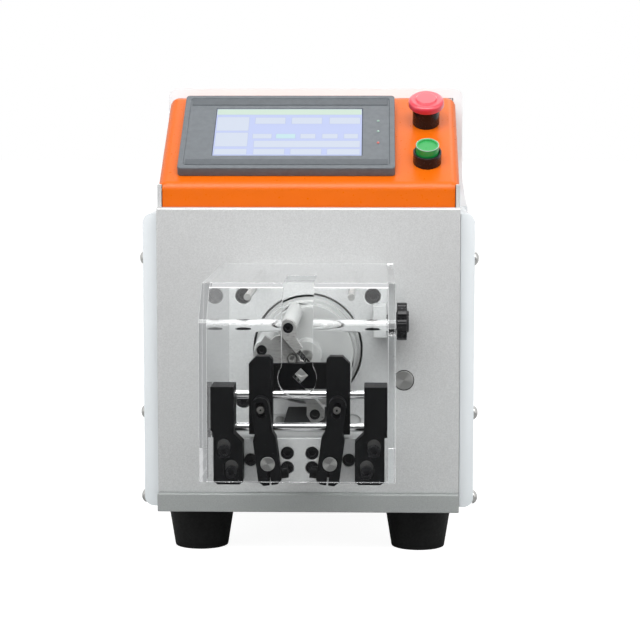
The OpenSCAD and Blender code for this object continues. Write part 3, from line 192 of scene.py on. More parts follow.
# %% [markdown]
# ### The floor
# The bench under the machine is a wide sheet of paper. A grey floor takes the shadow of the feet,
# and a glow that only the camera, metal and glass see lifts it to white, so the shadow stays.

# %% Floor
FLOOR_HALF, FLOOR_FRONT, FLOOR_DROP = 6.0, -0.45, 0.0002
FLOOR_GREY, FLOOR_GLOW, GLOW_FROM, GLOW_TO = 0.45, 0.93, 0.0, 0.5
floor_mesh = bmesh.new()
bmesh.ops.create_grid(floor_mesh, x_segments=1, y_segments=1, size=FLOOR_HALF)
floor_data = bpy.data.meshes.new("floor")
floor_mesh.to_mesh(floor_data)
floor_mesh.free()
floor = bpy.data.objects.new("floor", floor_data)
floor.location = (0, FLOOR_FRONT + FLOOR_HALF, -FLOOR_DROP)
bpy.context.scene.collection.objects.link(floor)

floor_finish = bpy.data.materials.new("pale_floor")
floor_finish.use_nodes = True
tree = floor_finish.node_tree
paper = tree.nodes["Principled BSDF"]
paper.inputs["Base Color"].default_value = (FLOOR_GREY, FLOOR_GREY, FLOOR_GREY, 1)
paper.inputs["Roughness"].default_value = 1.0
paper.inputs["Specular IOR Level"].default_value = 0.0
spot = node(tree, "NewGeometry").outputs["Position"]
white = shown_white(tree, fade(tree, spot, GLOW_FROM, GLOW_TO))
floor_glow = node(tree, "Emission")
tree.links.new(worked(tree, "MULTIPLY", white, FLOOR_GLOW), floor_glow.inputs["Strength"])
both = node(tree, "AddShader")
tree.links.new(paper.outputs[0], both.inputs[0])
tree.links.new(floor_glow.outputs[0], both.inputs[1])
tree.links.new(both.outputs[0], tree.nodes["Material Output"].inputs["Surface"])
floor_data.materials.append(floor_finish)
print("floor:", 2 * FLOOR_HALF, "m wide")

# %% [markdown]
# ## Finishes
# Every finish starts from the Principled shader. One helper makes the material, and the others lay
# a fine noise over its colour, its roughness and its relief. All patterns read Object coordinates,
# which here are the machine's own metres, so a grain of half a millimetre is the same on every
# piece.

# %% Helpers that make a finish and a grain
finishes = {}


def finish(name, colour, roughness, metallic=0.0, **sockets):
    """A material; further sockets of the shader are given with _ for each space."""
    material = bpy.data.materials.new(name)
    material.use_nodes = True
    shader = material.node_tree.nodes["Principled BSDF"]
    shader.inputs["Base Color"].default_value = (*colour, 1)
    shader.inputs["Roughness"].default_value = roughness
    shader.inputs["Metallic"].default_value = metallic
    for socket, value in sockets.items():
        shader.inputs[socket.replace("_", " ")].default_value = value
    finishes[name] = material
    return material


def noise(tree, size, stretch=(1, 1, 1), detail=2.0):
    """A noise whose grains are size millimetres across, drawn out along an axis by stretch."""
    place = node(tree, "TexCoord")
    scale = node(tree, "Mapping")
    scale.inputs["Scale"].default_value = [1 / s for s in stretch]
    grains = node(tree, "TexNoise")
    grains.inputs["Scale"].default_value = 1000 / size
    grains.inputs["Detail"].default_value = detail
    tree.links.new(place.outputs["Object"], scale.inputs["Vector"])
    tree.links.new(scale.outputs["Vector"], grains.inputs["Vector"])
    return grains.outputs["Fac"]


print("finish helpers ready")

# %% Helpers that lay a grain over a finish
NOISE_LOW, NOISE_HIGH = 0.3, 0.7


def tint(material, value, spread, low=NOISE_LOW, high=NOISE_HIGH):
    """Lets a value darken and lighten the colour by a share."""
    tree = material.node_tree
    shader = tree.nodes["Principled BSDF"]
    base = shader.inputs["Base Color"].default_value[:3]
    ramp = node(tree, "ValToRGB")
    dark, light = ramp.color_ramp.elements
    dark.position, light.position = low, high
    dark.color = (*[c * (1 - spread) for c in base], 1)
    light.color = (*[min(1, c * (1 + spread)) for c in base], 1)
    tree.links.new(value, ramp.inputs["Fac"])
    tree.links.new(ramp.outputs["Color"], shader.inputs["Base Color"])


def gloss(material, value, low, high):
    """Lets a value move the roughness between two levels."""
    tree = material.node_tree
    reach = node(tree, "MapRange")
    reach.inputs["From Min"].default_value = NOISE_LOW
    reach.inputs["From Max"].default_value = NOISE_HIGH
    reach.inputs["To Min"].default_value = low
    reach.inputs["To Max"].default_value = high
    tree.links.new(value, reach.inputs["Value"])
    tree.links.new(reach.outputs["Result"], tree.nodes["Principled BSDF"].inputs["Roughness"])


def relief(material, value, strength, height):
    """A bump of some height in millimetres."""
    tree = material.node_tree
    bump = node(tree, "Bump")
    bump.inputs["Strength"].default_value = strength
    bump.inputs["Distance"].default_value = height / 1000
    tree.links.new(value, bump.inputs["Height"])
    tree.links.new(bump.outputs["Normal"], tree.nodes["Principled BSDF"].inputs["Normal"])


print("grain helpers ready")

# %% [markdown]
# ### Aluminium
# The plates are bead-blasted and clear anodised: a pale satin grey full of tiny bright grains, and
# a darker one on the base, darker partly for its anodising and partly as painted shade. The clamp's
# arms are anodised black, which is an oxide and mirrors little, with fine milling lines drawn out
# along their height.

# %% Aluminium finishes
# The base's colour is darker partly for its anodising and partly as painted shade.
for name, colour in (
    ("clear_anodised", (0.555, 0.56, 0.56)), ("base_anodised", (0.36, 0.375, 0.37)),
):
    blasted = finish(name, colour, 0.5, 0.35)
    tint(blasted, noise(blasted.node_tree, 0.7, detail=3), 0.09)
    gloss(blasted, noise(blasted.node_tree, 1.3), 0.42, 0.58)
clear_alu = finishes["clear_anodised"]
relief(clear_alu, noise(clear_alu.node_tree, 0.45), 0.25, 0.05)

black_alu = finish("black_anodised", (0.0035, 0.0037, 0.0042), 0.40, Specular_IOR_Level=0.1)
tint(black_alu, noise(black_alu.node_tree, 3.0, (1, 1, 6)), 0.25)
gloss(black_alu, noise(black_alu.node_tree, 0.8, (1, 1, 5)), 0.38, 0.54)
relief(black_alu, noise(black_alu.node_tree, 0.3, (1, 1, 8)), 0.12, 0.02)
print("aluminium finishes:", sorted(finishes))

# %% [markdown]
# ### Powder coats
# White and orange powder coat melt into a skin with a soft orange peel. It is a low bump whose
# grains are a millimetre and a half across, with the same size of grain in the roughness.

# %% Powder coat finishes
for name, colour, mirror, shiny, matt in (
    ("white_paint", (0.74, 0.775, 0.795), 0.5, 0.39, 0.51),
    ("orange_paint", (0.67, 0.120, 0.001), 0.32, 0.27, 0.43),
):
    coat = finish(name, colour, matt, Specular_IOR_Level=mirror)
    tint(coat, noise(coat.node_tree, 30, detail=1), 0.015)
    gloss(coat, noise(coat.node_tree, 1.6), shiny, matt)
    relief(coat, noise(coat.node_tree, 1.4, detail=3), 0.2, 0.12)
print("finishes so far:", len(finishes))

# %% [markdown]
# ### Steel, chrome and bronze
# Ground steel carries fine lines along the grinding, so its noise is drawn out. Rods are hard
# chromed, screws are blackened or zinc plated, and bushes are bronze.

# %% Steel finishes
ground = finish("ground_steel", (0.38, 0.378, 0.37), 0.32, 0.6)
tint(ground, noise(ground.node_tree, 0.5, (8, 1, 1)), 0.12)
gloss(ground, noise(ground.node_tree, 0.35, (10, 1, 1)), 0.26, 0.42)
relief(ground, noise(ground.node_tree, 0.2, (12, 1, 1)), 0.15, 0.01)

black_screw = finish("black_oxide", (0.028, 0.028, 0.03), 0.34, 0.8)
gloss(black_screw, noise(black_screw.node_tree, 0.6), 0.26, 0.45)
tint(black_screw, noise(black_screw.node_tree, 1.5), 0.3)

supply = finish("supply_steel", (0.55, 0.55, 0.54), 0.4, 1.0)
tint(supply, noise(supply.node_tree, 9, detail=4), 0.18)
gloss(supply, noise(supply.node_tree, 6), 0.3, 0.5)

for name, colour, rough, grain, stretch, shiny, matt in (
    ("bright_rod", (0.72, 0.725, 0.73), 0.16, 1.0, (12, 1, 1), 0.12, 0.2),
    ("zinc_screw", (0.50, 0.50, 0.49), 0.3, 0.5, (1, 1, 1), 0.22, 0.4),
    ("blade_steel", (0.66, 0.66, 0.645), 0.2, 0.25, (1, 1, 10), 0.14, 0.3),
    ("bronze", (0.52, 0.33, 0.13), 0.35, 0.8, (1, 1, 1), 0.28, 0.45),
):
    metal = finish(name, colour, rough, 1.0)
    gloss(metal, noise(metal.node_tree, grain, stretch), shiny, matt)
print("finishes so far:", len(finishes))

# %% [markdown]
# ### Turned faces
# A lathe leaves fine rings on a face, and the rings mirror light in two bright wedges. The rings
# are a bump, and the wedges are a painted highlight, lighter and darker sectors in the colour. Both
# patterns are measured from the piece's own axis. They read the distance from the middle of the
# machine without its sign, so one finish serves the left piece and the right one.

# %% Helpers for turned faces
RING_WAVER, WEDGE_TURN = 0.6, 0.9


def from_axis(tree, x, z):
    """Coordinates from an axis along Y at x, z and at its mirror place, in millimetres."""
    place = node(tree, "TexCoord")
    folded = node(tree, "VectorMath", operation="ABSOLUTE")
    shift = node(tree, "Mapping")
    shift.inputs["Location"].default_value = (-x / 1000, 0, -z / 1000)
    tree.links.new(place.outputs["Object"], folded.inputs[0])
    tree.links.new(folded.outputs["Vector"], shift.inputs["Vector"])
    return shift.outputs["Vector"]


def rings(tree, vector, pitch):
    """Turning marks round the Y axis of a vector, a pitch of millimetres apart."""
    wave = node(tree, "TexWave", wave_type="RINGS", rings_direction="Y")
    wave.inputs["Scale"].default_value = 100 * math.pi / pitch
    wave.inputs["Distortion"].default_value = RING_WAVER
    tree.links.new(vector, wave.inputs["Vector"])
    return wave.outputs["Fac"]


def painted_highlight_wedges(tree, vector):
    """The two bright wedges that a turned face mirrors, as a painted highlight round the same axis.
    """
    parts = node(tree, "SeparateXYZ")
    tree.links.new(vector, parts.inputs["Vector"])
    angle = worked(tree, "ARCTAN2", parts.outputs["Z"], parts.outputs["X"])
    twice = worked(tree, "ADD", worked(tree, "MULTIPLY", angle, 2.0), WEDGE_TURN)
    wave = node(tree, "Math", operation="SINE")
    tree.links.new(twice, wave.inputs[0])
    return wave.outputs[0]


print("turning helpers ready")

# %% Turned finishes
AXIS_Z = 130.8
GUIDE_X, GUIDE_Z = 60.2, 111.4
LEVER_X, LEVER_Z = 17.25, 84.2
PIN_X, PIN_Z = 21.13, 114.45
for name, colour, metallic, x, z, pitch, wedge_highlight in (
    ("turned_shaft", (0.52, 0.52, 0.51), 0.9, GUIDE_X, GUIDE_Z, 1.1, 0.2),
    ("turned_lever_pin", (0.43, 0.43, 0.42), 0.9, LEVER_X, LEVER_Z, 0.9, 0.3),
    ("turned_pin", (0.21, 0.205, 0.195), 0.9, PIN_X, PIN_Z, 0.8, 0.08),
    ("turned_stop", (0.42, 0.42, 0.41), 0.9, 0, AXIS_Z, 1.0, 0.25),
    ("turned_head", (0.50, 0.505, 0.50), 0.4, 0, AXIS_Z, 1.0, 0.03),
):
    turned = finish(name, colour, 0.35, metallic)
    tree = turned.node_tree
    axis = from_axis(tree, x, z)
    # The wedges are a painted highlight, laid into the colour by the share in the last column.
    tint(turned, painted_highlight_wedges(tree, axis), wedge_highlight, 0.0, 1.0)
    gloss(turned, noise(tree, 0.8), 0.28, 0.42)
    relief(turned, rings(tree, axis, pitch), 0.2, 0.05)
print("finishes so far:", len(finishes))

# %% [markdown]
# ### Plastics and rubber
# Moulded pieces have a fine spark-eroded grain. The buttons are polished and clear coated, and the
# display gives off a little light of its own.

# %% Plastic and rubber finishes
SHINIER, DULLER = 0.06, 0.08
for name, colour, rough, grain, depth in (
    ("dark_plastic", (0.115, 0.128, 0.140), 0.40, 0.5, 0.03),
    ("black_plastic", (0.010, 0.010, 0.011), 0.22, 0.6, 0.02),
    ("motor_black", (0.03, 0.03, 0.032), 0.42, 1.0, 0.05),
    ("board_green", (0.03, 0.14, 0.06), 0.35, 2.0, 0.03),
    ("foot_rubber", (0.0025, 0.0028, 0.0028), 0.7, 0.8, 0.06),
    ("belt_rubber", (0.015, 0.015, 0.015), 0.65, 0.8, 0.06),
):
    moulded = finish(name, colour, rough, Specular_IOR_Level=0.3)
    tint(moulded, noise(moulded.node_tree, 4.0), 0.08)
    gloss(moulded, noise(moulded.node_tree, 1.5), rough - SHINIER, rough + DULLER)
    relief(moulded, noise(moulded.node_tree, grain), 0.2, depth)

stop_red = finish("stop_red", (0.66, 0.016, 0.04), 0.36, Coat_Weight=1.0, Coat_Roughness=0.35)
gloss(stop_red, noise(stop_red.node_tree, 1.2), 0.34, 0.38)
start_green = finish("start_green", (0.005, 0.29, 0.05), 0.3, Coat_Weight=0.15)
gloss(start_green, noise(start_green.node_tree, 4), 0.26, 0.36)
display = finish("display", (0.15, 0.17, 0.26), 0.12, Emission_Color=(0.60, 0.68, 0.97, 1),
                 Emission_Strength=0.5)
gloss(display, noise(display.node_tree, 40), 0.1, 0.14)
print("finishes so far:", len(finishes))

# %% [markdown]
# ### Clear acrylic
# The guard is a real wall of clear acrylic, so it bends light by its thickness. Lamps reach what is
# behind it, because the rays that ask a lamp for light find it transparent. A ray that runs along
# inside the sheet is turned so often that a renderer gives it up as black. It ends in a pale glow
# instead, as bright as the light that gathers at the edges of real acrylic.

# %% Acrylic finish
MOST_TURNS = 4.0
acrylic = finish("clear_acrylic", (0.99, 0.995, 0.995), 0.02, IOR=1.49, Transmission_Weight=1.0)
tree = acrylic.node_tree
gloss(acrylic, noise(tree, 25), 0.0, 0.03)


def either(tree, choice, first, second):
    """The first shader where the choice is 0, the second where it is 1."""
    mix = node(tree, "MixShader")
    for socket, place in ((choice, "Fac"), (first, 1), (second, 2)):
        tree.links.new(socket, mix.inputs[place])
    return mix.outputs[0]


rays = node(tree, "LightPath").outputs
clear = node(tree, "BsdfTransparent")
clear.inputs["Color"].default_value = (0.93, 0.95, 0.95, 1)
edge_glow = node(tree, "Emission")
edge_glow.inputs["Color"].default_value = (0.66, 0.67, 0.68, 1)
wall = tree.nodes["Principled BSDF"].outputs[0]
lit_through = either(tree, rays["Is Shadow Ray"], wall, clear.outputs[0])
guided = worked(tree, "GREATER_THAN", rays["Ray Depth"], MOST_TURNS)
ended = either(tree, guided, lit_through, edge_glow.outputs[0])
tree.links.new(ended, tree.nodes["Material Output"].inputs["Surface"])
acrylic.cycles.emission_sampling = "NONE"
print("finishes:", sorted(finishes))

# %% [markdown]
# ### Which piece has which finish
# The CAD record names a finish for every node, so pieces that stay as they were packed get theirs
# in one loop. It has to come before the dressed copies are made, which look their finish up.

# %% Give each node its finish
for name, solid in nodes.items():
    solid.data.materials.clear()
    solid.data.materials.append(finishes[slot_of[name]])
print("nodes with a finish:", len(nodes))

# %% [markdown]
# ## Soft edges
# No machined or bent piece has knife edges, and it is the narrow bright line along an edge that
# makes it look solid. The CAD mesh is loose triangles, so a copy is welded, its flat areas are
# joined into single faces, and its hard edges get a narrow bevel. A Weighted Normal modifier then
# keeps the flat faces flat while the bevels shade round.

# %% Helpers for edges
WELD, FLAT = 2e-6, math.radians(0.4)
SOFT, SHARP = math.radians(30), math.radians(50)


def edges_between(mesh, low, high):
    """The edges whose two faces turn by more than low and no more than high."""
    return [e for e in mesh.edges if len(e.link_faces) == 2 and low < e.calc_face_angle() <= high]


def bevelled(mesh, edges, width, segments):
    """Rounds edges over a width in millimetres."""
    bmesh.ops.bevel(mesh, geom=edges, offset=width / 1000, offset_type="OFFSET", affect="EDGES",
                    segments=segments, profile=0.5, material=-1, clamp_overlap=False)


def welded(node_name):
    """A node's copy with its loose triangles joined and its flat areas made single faces."""
    mesh = bmesh.new()
    mesh.from_mesh(nodes[node_name].data)
    bmesh.ops.remove_doubles(mesh, verts=mesh.verts, dist=WELD)
    bmesh.ops.dissolve_limit(mesh, angle_limit=FLAT, verts=mesh.verts, edges=mesh.edges)
    return mesh


print("edge helpers ready")

# %% Helpers for pieces
NORMAL_WEIGHT = 60
bodies = frame["record"]["behaviour"]["bodies"]
body_of = {name: body for body, names in bodies.items() for name in names}


def add_piece(name, mesh, body, slot, material=None):
    """Turns a bmesh into a smooth piece that rides on a body."""
    for edge in mesh.edges:
        edge.smooth = len(edge.link_faces) == 2 and edge.calc_face_angle() < SHARP
    for face in mesh.faces:
        face.smooth = True
    data = bpy.data.meshes.new(name)
    mesh.to_mesh(data)
    mesh.free()
    data.materials.append(material or finishes[slot])
    piece = bpy.data.objects.new(name, data)
    bpy.context.scene.collection.objects.link(piece)
    even = piece.modifiers.new("even_normals", "WEIGHTED_NORMAL")
    even.weight = NORMAL_WEIGHT
    even.keep_sharp = True
    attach(piece, body)
    return piece


def dressed(node_name, width, segments=2, material=None, shortest=0.0, mesh=None):
    """A node's copy with soft edges; the width and the shortest edge to soften in millimetres."""
    mesh = mesh or welded(node_name)
    edges = [e for e in edges_between(mesh, SOFT, math.pi) if e.calc_length() > shortest / 1000]
    bevelled(mesh, edges, width, segments)
    piece = add_piece(node_name + "_soft", mesh, body_of[node_name], slot_of[node_name], material)
    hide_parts(node_name)


print("bodies:", len(set(body_of.values())))

# %% [markdown]
# ### Plates and covers
# The plates are broken-edged with a deburring tool. The cover is bent from sheet and powder coated,
# which rounds every edge a little more; its short edges lie in its curves and stay as they are.

# %% Plates and covers
SHORT_EDGE = 4
for node_name, width in (
    ("front_plate", 0.4), ("side_frames", 0.3), ("rear_panel", 0.5), ("support_beam", 0.3),
    ("screen_bezel", 0.5), ("stop_collar", 0.35), ("start_bezel", 0.35), ("rubber_feet", 0.6),
):
    dressed(node_name, width)
# The base's finish is darker partly for its anodising and partly as painted shade.
dressed("base_plate", 0.5, material=finishes["base_anodised"])
dressed("outer_cover", 0.5, shortest=SHORT_EDGE)

# %% [markdown]
# ### Console
# A press brake rolls the orange sheet round a radius, at its lip and at its upper crease. A bevel
# that wide would run into the console's rounded corners. So the copy is sliced on both sides of a
# bend, and each slice is pushed in along the line between the two faces until it lies on the arc.

# %% Helper for rolled bends
SLICES, SHEET = 7, 0.004


def rolled(mesh, corner, first, second, radius):
    """Rounds a sheet's bend at a corner, where its faces run off along two directions."""
    inward = (first + second).normalized()
    half = first.angle(inward)
    reach = radius / math.tan(half)
    for way in (first, second):
        for step in range(1, SLICES + 1):
            everything = mesh.verts[:] + mesh.edges[:] + mesh.faces[:]
            bmesh.ops.bisect_plane(mesh, geom=everything, dist=WELD, plane_no=way,
                                   plane_co=corner + way * (reach * step / SLICES))
    across = inward.cross(Vector((1, 0, 0)))
    for vertex in mesh.verts:
        away = abs((vertex.co - corner).dot(across))
        depth = (vertex.co - corner).dot(inward) - away / math.tan(half)
        if away < reach * math.sin(half) and abs(depth) < SHEET:
            arc = radius / math.sin(half) - math.sqrt(radius ** 2 - away ** 2)
            vertex.co += inward * (arc - away / math.tan(half))


print("slices on each side of a bend:", SLICES)

# %% Console
SLOPE_LEN, BEND_R = 100, 0.007
DOWN, BACK = Vector((0, 0, -1)), Vector((0, 1, 0))
UP_SLOPE = Vector((0, math.cos(SLOPE), math.sin(SLOPE)))
console = welded("console_panel")
rolled(console, on_slope(0, 0, 0), UP_SLOPE, DOWN, BEND_R)
rolled(console, on_slope(0, SLOPE_LEN, 0), -UP_SLOPE, BACK, BEND_R)
dressed("console_panel", 0.3, shortest=SHORT_EDGE, mesh=console)
print("console bends (mm):", 1000 * BEND_R)

# %% [markdown]
# ### Clamp and head
# Blocks, posts, levers and jaws are milled and lightly chamfered. Screws and shaft ends are turned,
# so their rims are softened too, and the faces that show get the rings of the lathe.

# %% Clamp and head
for node_name, width in (
    ("clamp_block", 0.3), ("left_post", 0.25), ("right_post", 0.25), ("left_lever", 0.3),
    ("right_lever", 0.3), ("left_jaw", 0.2), ("right_jaw", 0.2), ("jaw_rods", 0.2),
    ("clamp_screws", 0.12), ("plate_screws", 0.15), ("cover_screws", 0.12),
    ("pivot_screws", 0.12), ("blade_arm_a", 0.15), ("blade_arm_b", 0.15),
    ("centring_jaw_a", 0.15), ("centring_jaw_b", 0.15), ("guard_bracket", 0.3),
    ("guard_rods", 0.2), ("inlet_module", 0.3), ("power_switch", 0.3), ("stop_mushroom", 0.2),
    ("start_button", 0.25),
):
    dressed(node_name, width)
for node_name, width, kind in (
    ("rotor_head", 0.3, "turned_head"), ("guide_shafts", 0.3, "turned_shaft"),
    ("left_gear_shaft", 0.25, "turned_lever_pin"), ("right_gear_shaft", 0.25, "turned_lever_pin"),
):
    dressed(node_name, width, material=finishes[kind])

# %% [markdown]
# ### Guard and knob
# The guard is bent from one sheet of acrylic over a hot wire. Its upper bend is tight and its lower
# one round, so the upper edges are found by their height and bevelled first. The knob is a moulded
# star, and its lobes flow into each other.

# %% Guard and knob
LEAST_BEND, MOST_BEND, SHORTEST_BEND, BEND_STEPS = math.radians(20), math.radians(75), 0.015, 6
GUARD_BENDS = ((0.8, 0.17), (3.4, 0.0))  # width in millimetres, least height in metres
guard = welded("guard")
for width, lowest in GUARD_BENDS:
    bends = [e for e in edges_between(guard, LEAST_BEND, MOST_BEND)
             if e.calc_length() > SHORTEST_BEND and e.verts[0].co.z > lowest]
    bevelled(guard, bends, width, BEND_STEPS)
dressed("guard", 0.25, mesh=guard)
dressed("star_knob", 0.6, segments=3)
print("guard bends (mm):", [width for width, lowest in GUARD_BENDS])

# %% [markdown]
# ## Turned ends
# Each jaw's drive pin shows as a disc in the slot of its lever, and the cable stop closes the bore
# of the head's hub. A circle is filled, drawn out along Y, its rim is broken and a centre mark is
# pressed into its face, as a lathe leaves it.

# %% Helper for turned ends
END_SIDES = 40
RIM_SHARE, INSET_SHARE, MARK_SHARE = 0.15, 0.7, 0.03
FACING_FRONT = Matrix.Rotation(math.radians(90), 4, "X")


def turned_end(name, x, y, z, radius, length, body, material):
    """A turned pin along Y whose face is at y, in millimetres."""
    mesh = bmesh.new()
    bmesh.ops.create_circle(mesh, cap_ends=True, segments=END_SIDES, radius=radius / 1000,
                            matrix=Matrix.Translation(at(x, y + length, z)) @ FACING_FRONT)
    drawn = bmesh.ops.extrude_face_region(mesh, geom=mesh.faces[:])["geom"]
    front = [v for v in drawn if isinstance(v, bmesh.types.BMVert)]
    bmesh.ops.translate(mesh, verts=front, vec=(0, -length / 1000, 0))
    bmesh.ops.recalc_face_normals(mesh, faces=mesh.faces)
    bevelled(mesh, edges_between(mesh, SOFT, math.pi), RIM_SHARE * radius, 3)
    face = min(mesh.faces, key=lambda f: f.calc_center_median().y)
    bmesh.ops.inset_individual(mesh, faces=[face], thickness=INSET_SHARE * radius / 1000)
    bmesh.ops.translate(mesh, verts=face.verts, vec=(0, MARK_SHARE * radius / 1000, 0))
    add_piece(name, mesh, body, "zinc_screw", material)


print("sides of a turned end:", END_SIDES)

# %% Turned ends
PIN_FACE, PIN_R, PIN_LEN = -153.15, 2.07, 1.0
for side, jaw in ((-1, "left_jaw"), (1, "right_jaw")):
    turned_end(jaw + "_pin", side * PIN_X, PIN_FACE, PIN_Z, PIN_R, PIN_LEN, body_of[jaw],
               finishes["turned_pin"])
STOP_FACE, STOP_R, STOP_LEN = -37.6, 3.9, 4.0
turned_end("cable_stop", 0, STOP_FACE, AXIS_Z, STOP_R, STOP_LEN, body_of["rotor_head"],
           finishes["turned_stop"])
print("pins and stop (mm):", 2 * PIN_R, 2 * STOP_R)

# %% [markdown]
# ## Shaft shade rings
# A thin black ring round each guide shaft is painted shade, for the shadow in the gap round the
# shaft, shaped as an O-ring. A torus could be added whole. Here a small circle is spun round the
# shaft's axis instead, which is how any ring of any section can be made.

# %% Shaft shade rings
TUBE_SIDES, RING_STEPS = 12, 64
GUIDE_R, SHADE_RING_GAP, SHADE_RING_TUBE, SHADE_RING_PROUD = 6.0, 0.2, 0.3, 0.05


def ring(name, place, radius, tube, body, slot, material=None):
    """A ring round the Z axis of a place; its radius and the tube's in millimetres."""
    mesh = bmesh.new()
    start = Matrix.Translation((radius / 1000, 0, 0)) @ FACING_FRONT
    bmesh.ops.create_circle(mesh, segments=TUBE_SIDES, radius=tube / 1000, matrix=start)
    bmesh.ops.spin(mesh, geom=mesh.verts[:] + mesh.edges[:], cent=(0, 0, 0), axis=(0, 0, 1),
                   dvec=(0, 0, 0), angle=2 * math.pi, steps=RING_STEPS, use_merge=True)
    bmesh.ops.recalc_face_normals(mesh, faces=mesh.faces)
    bmesh.ops.transform(mesh, matrix=place, verts=mesh.verts)
    add_piece(name, mesh, body, slot, material)


# Each black ring is painted shade, standing for the shadow in the gap round the shaft.
for side, name in ((-1, "left_shaft_seal"), (1, "right_shaft_seal")):
    centre = Matrix.Translation(at(side * GUIDE_X, -SHADE_RING_PROUD, GUIDE_Z))
    ring(name, centre @ FACING_FRONT, GUIDE_R + SHADE_RING_GAP, SHADE_RING_TUBE, body_of["front_plate"],
         "foot_rubber")
print("seals (mm):", 2 * (GUIDE_R + SHADE_RING_GAP))

# %% [markdown]
# ## Slot floors
# A thin grey floor close behind each slot's opening is painted light: it stands for the lit face
# of the block seen through the slot, which the deep slot leaves in shade. A floor is one flat face
# whose corners are rounded by just under half its width, until it is a slot, and which is then
# made into a thin solid.

# %% Slot floors
SLOT_W, SLOT_H, SLOT_Y, SLOT_T = 7.4, 10.8, -145.6, 0.1
SLOT_PLACES = ((37.6, 80.7), (41.8, 92.5))
CORNER_SHARE, CORNER_STEPS = 0.49975, 8
# The floors' grey is painted light, standing for the lit block face behind the slots.
slot_light = finish("painted_slot_light", (0.30, 0.30, 0.295), 0.4, 0.5)
tint(slot_light, noise(slot_light.node_tree, 0.6, (6, 1, 1)), 0.1)


def patch(mesh, place, wide, tall):
    """The corners of a flat face across the Z axis of a place, its sides in millimetres."""
    size = Matrix.Diagonal((wide / 1000, tall / 1000, 1, 1))
    made = bmesh.ops.create_grid(mesh, x_segments=1, y_segments=1, size=0.5, matrix=place @ size)
    return made["verts"]


for side, post in ((-1, "left_post"), (1, "right_post")):
    floors = bmesh.new()
    for x, z in SLOT_PLACES:
        patch(floors, Matrix.Translation(at(side * x, SLOT_Y, z)) @ FACING_FRONT, SLOT_W, SLOT_H)
    bmesh.ops.bevel(floors, geom=floors.verts[:], offset=CORNER_SHARE * SLOT_W / 1000,
                    offset_type="OFFSET", affect="VERTICES", segments=CORNER_STEPS, profile=0.5,
                    material=-1)
    bmesh.ops.solidify(floors, geom=floors.faces[:], thickness=SLOT_T / 1000)
    add_piece(post + "_slot_floors", floors, body_of[post], slot_of[post], slot_light)
print("slot floors:", 2 * len(SLOT_PLACES))

# %% [markdown]
# ## The screen's picture
# A touch panel shows a page of tiles, here a plain layout of coloured fields. Each tile is a thin
# flat patch on the glass with an inset rim, placed as a share of the display's width and height, so
# that it follows the display that the CAD model gives.

# %% Places on the display
def slope_box(node_name):
    """A node's least and greatest x, u and h on the slope, in millimetres."""
    rows = []
    for vertex in nodes[node_name].data.vertices:
        y = 1000 * (vertex.co.y - PLATE_FACE) - LIP_SETBACK
        z = 1000 * vertex.co.z - FRAME_TOP
        rows.append((1000 * vertex.co.x, y * math.cos(SLOPE) + z * math.sin(SLOPE),
                     z * math.cos(SLOPE) - y * math.sin(SLOPE)))
    return [min(c) for c in zip(*rows)], [max(c) for c in zip(*rows)]


glass_low, glass_high = slope_box("screen_glass")
bezel_low, bezel_high = slope_box("screen_bezel")
print("display (mm):", [round(b - a, 1) for a, b in zip(glass_low, glass_high)])

# %% The page
PAGE = (
    # finish, colour, tiles by their left, right, top and lower edges
    ("title_green", (0.70, 0.86, 0.74), ((0, 1, 0, 0.13),)),
    ("tile_blue", (0.72, 0.79, 0.93), (
        (0.006, 0.23, 0.174, 0.48), (0.006, 0.23, 0.514, 0.817), (0.006, 0.23, 0.862, 0.985),
        (0.267, 0.478, 0.183, 0.33), (0.517, 0.729, 0.183, 0.33), (0.776, 0.99, 0.183, 0.33),
        (0.257, 0.391, 0.54, 0.647), (0.581, 0.688, 0.54, 0.647), (0.729, 0.839, 0.54, 0.647),
        (0.877, 0.977, 0.54, 0.647), (0.269, 0.99, 0.688, 0.835), (0.27, 0.484, 0.862, 0.985),
        (0.519, 0.732, 0.862, 0.985), (0.765, 0.99, 0.862, 0.985))),
    ("tile_cyan", (0.62, 0.86, 0.92), ((0.4155, 0.552, 0.54, 0.647),)),
    ("tile_rim", (0.56, 0.63, 0.90), ()),
)
PAGE_GLOW, UNLIT_SHARE = 0.5, 0.25
page_finishes = []
for kind, colour, tiles in PAGE:
    lit = finish(kind, [UNLIT_SHARE * c for c in colour], 0.12, Emission_Color=(*colour, 1),
                 Emission_Strength=PAGE_GLOW)
    gloss(lit, noise(lit.node_tree, 40), 0.1, 0.14)
    page_finishes.append(lit)
print("page finishes:", [kind for kind, colour, tiles in PAGE])

# %% Tiles
TILE_RISE, TILE_RIM = 0.06, 0.45
page = bmesh.new()
wide, tall = glass_high[0] - glass_low[0], glass_high[1] - glass_low[1]
for index, (kind, colour, tiles) in enumerate(PAGE):
    for left, right, top, low in tiles:
        middle = on_slope(glass_low[0] + wide * (left + right) / 2,
                          glass_high[1] - tall * (top + low) / 2, glass_high[2] + TILE_RISE)
        corners = patch(page, Matrix.Translation(middle) @ SLOPE_TURN, wide * (right - left),
                        tall * (low - top))
        tile = corners[0].link_faces[0]
        rim = bmesh.ops.inset_individual(page, faces=[tile], thickness=TILE_RIM / 1000)["faces"]
        tile.material_index = index
        for face in rim:
            face.material_index = len(PAGE) - 1
screen_page = add_piece("screen_page", page, body_of["screen_glass"], "display", page_finishes[0])
for extra in page_finishes[1:]:
    screen_page.data.materials.append(extra)
print("tiles:", sum(len(tiles) for kind, colour, tiles in PAGE))

# %% [markdown]
# ## Bands and lights on the screen's housing
# The housing has a raised band above and below the display. The bands are flat patches made into
# thin solids with soft edges.

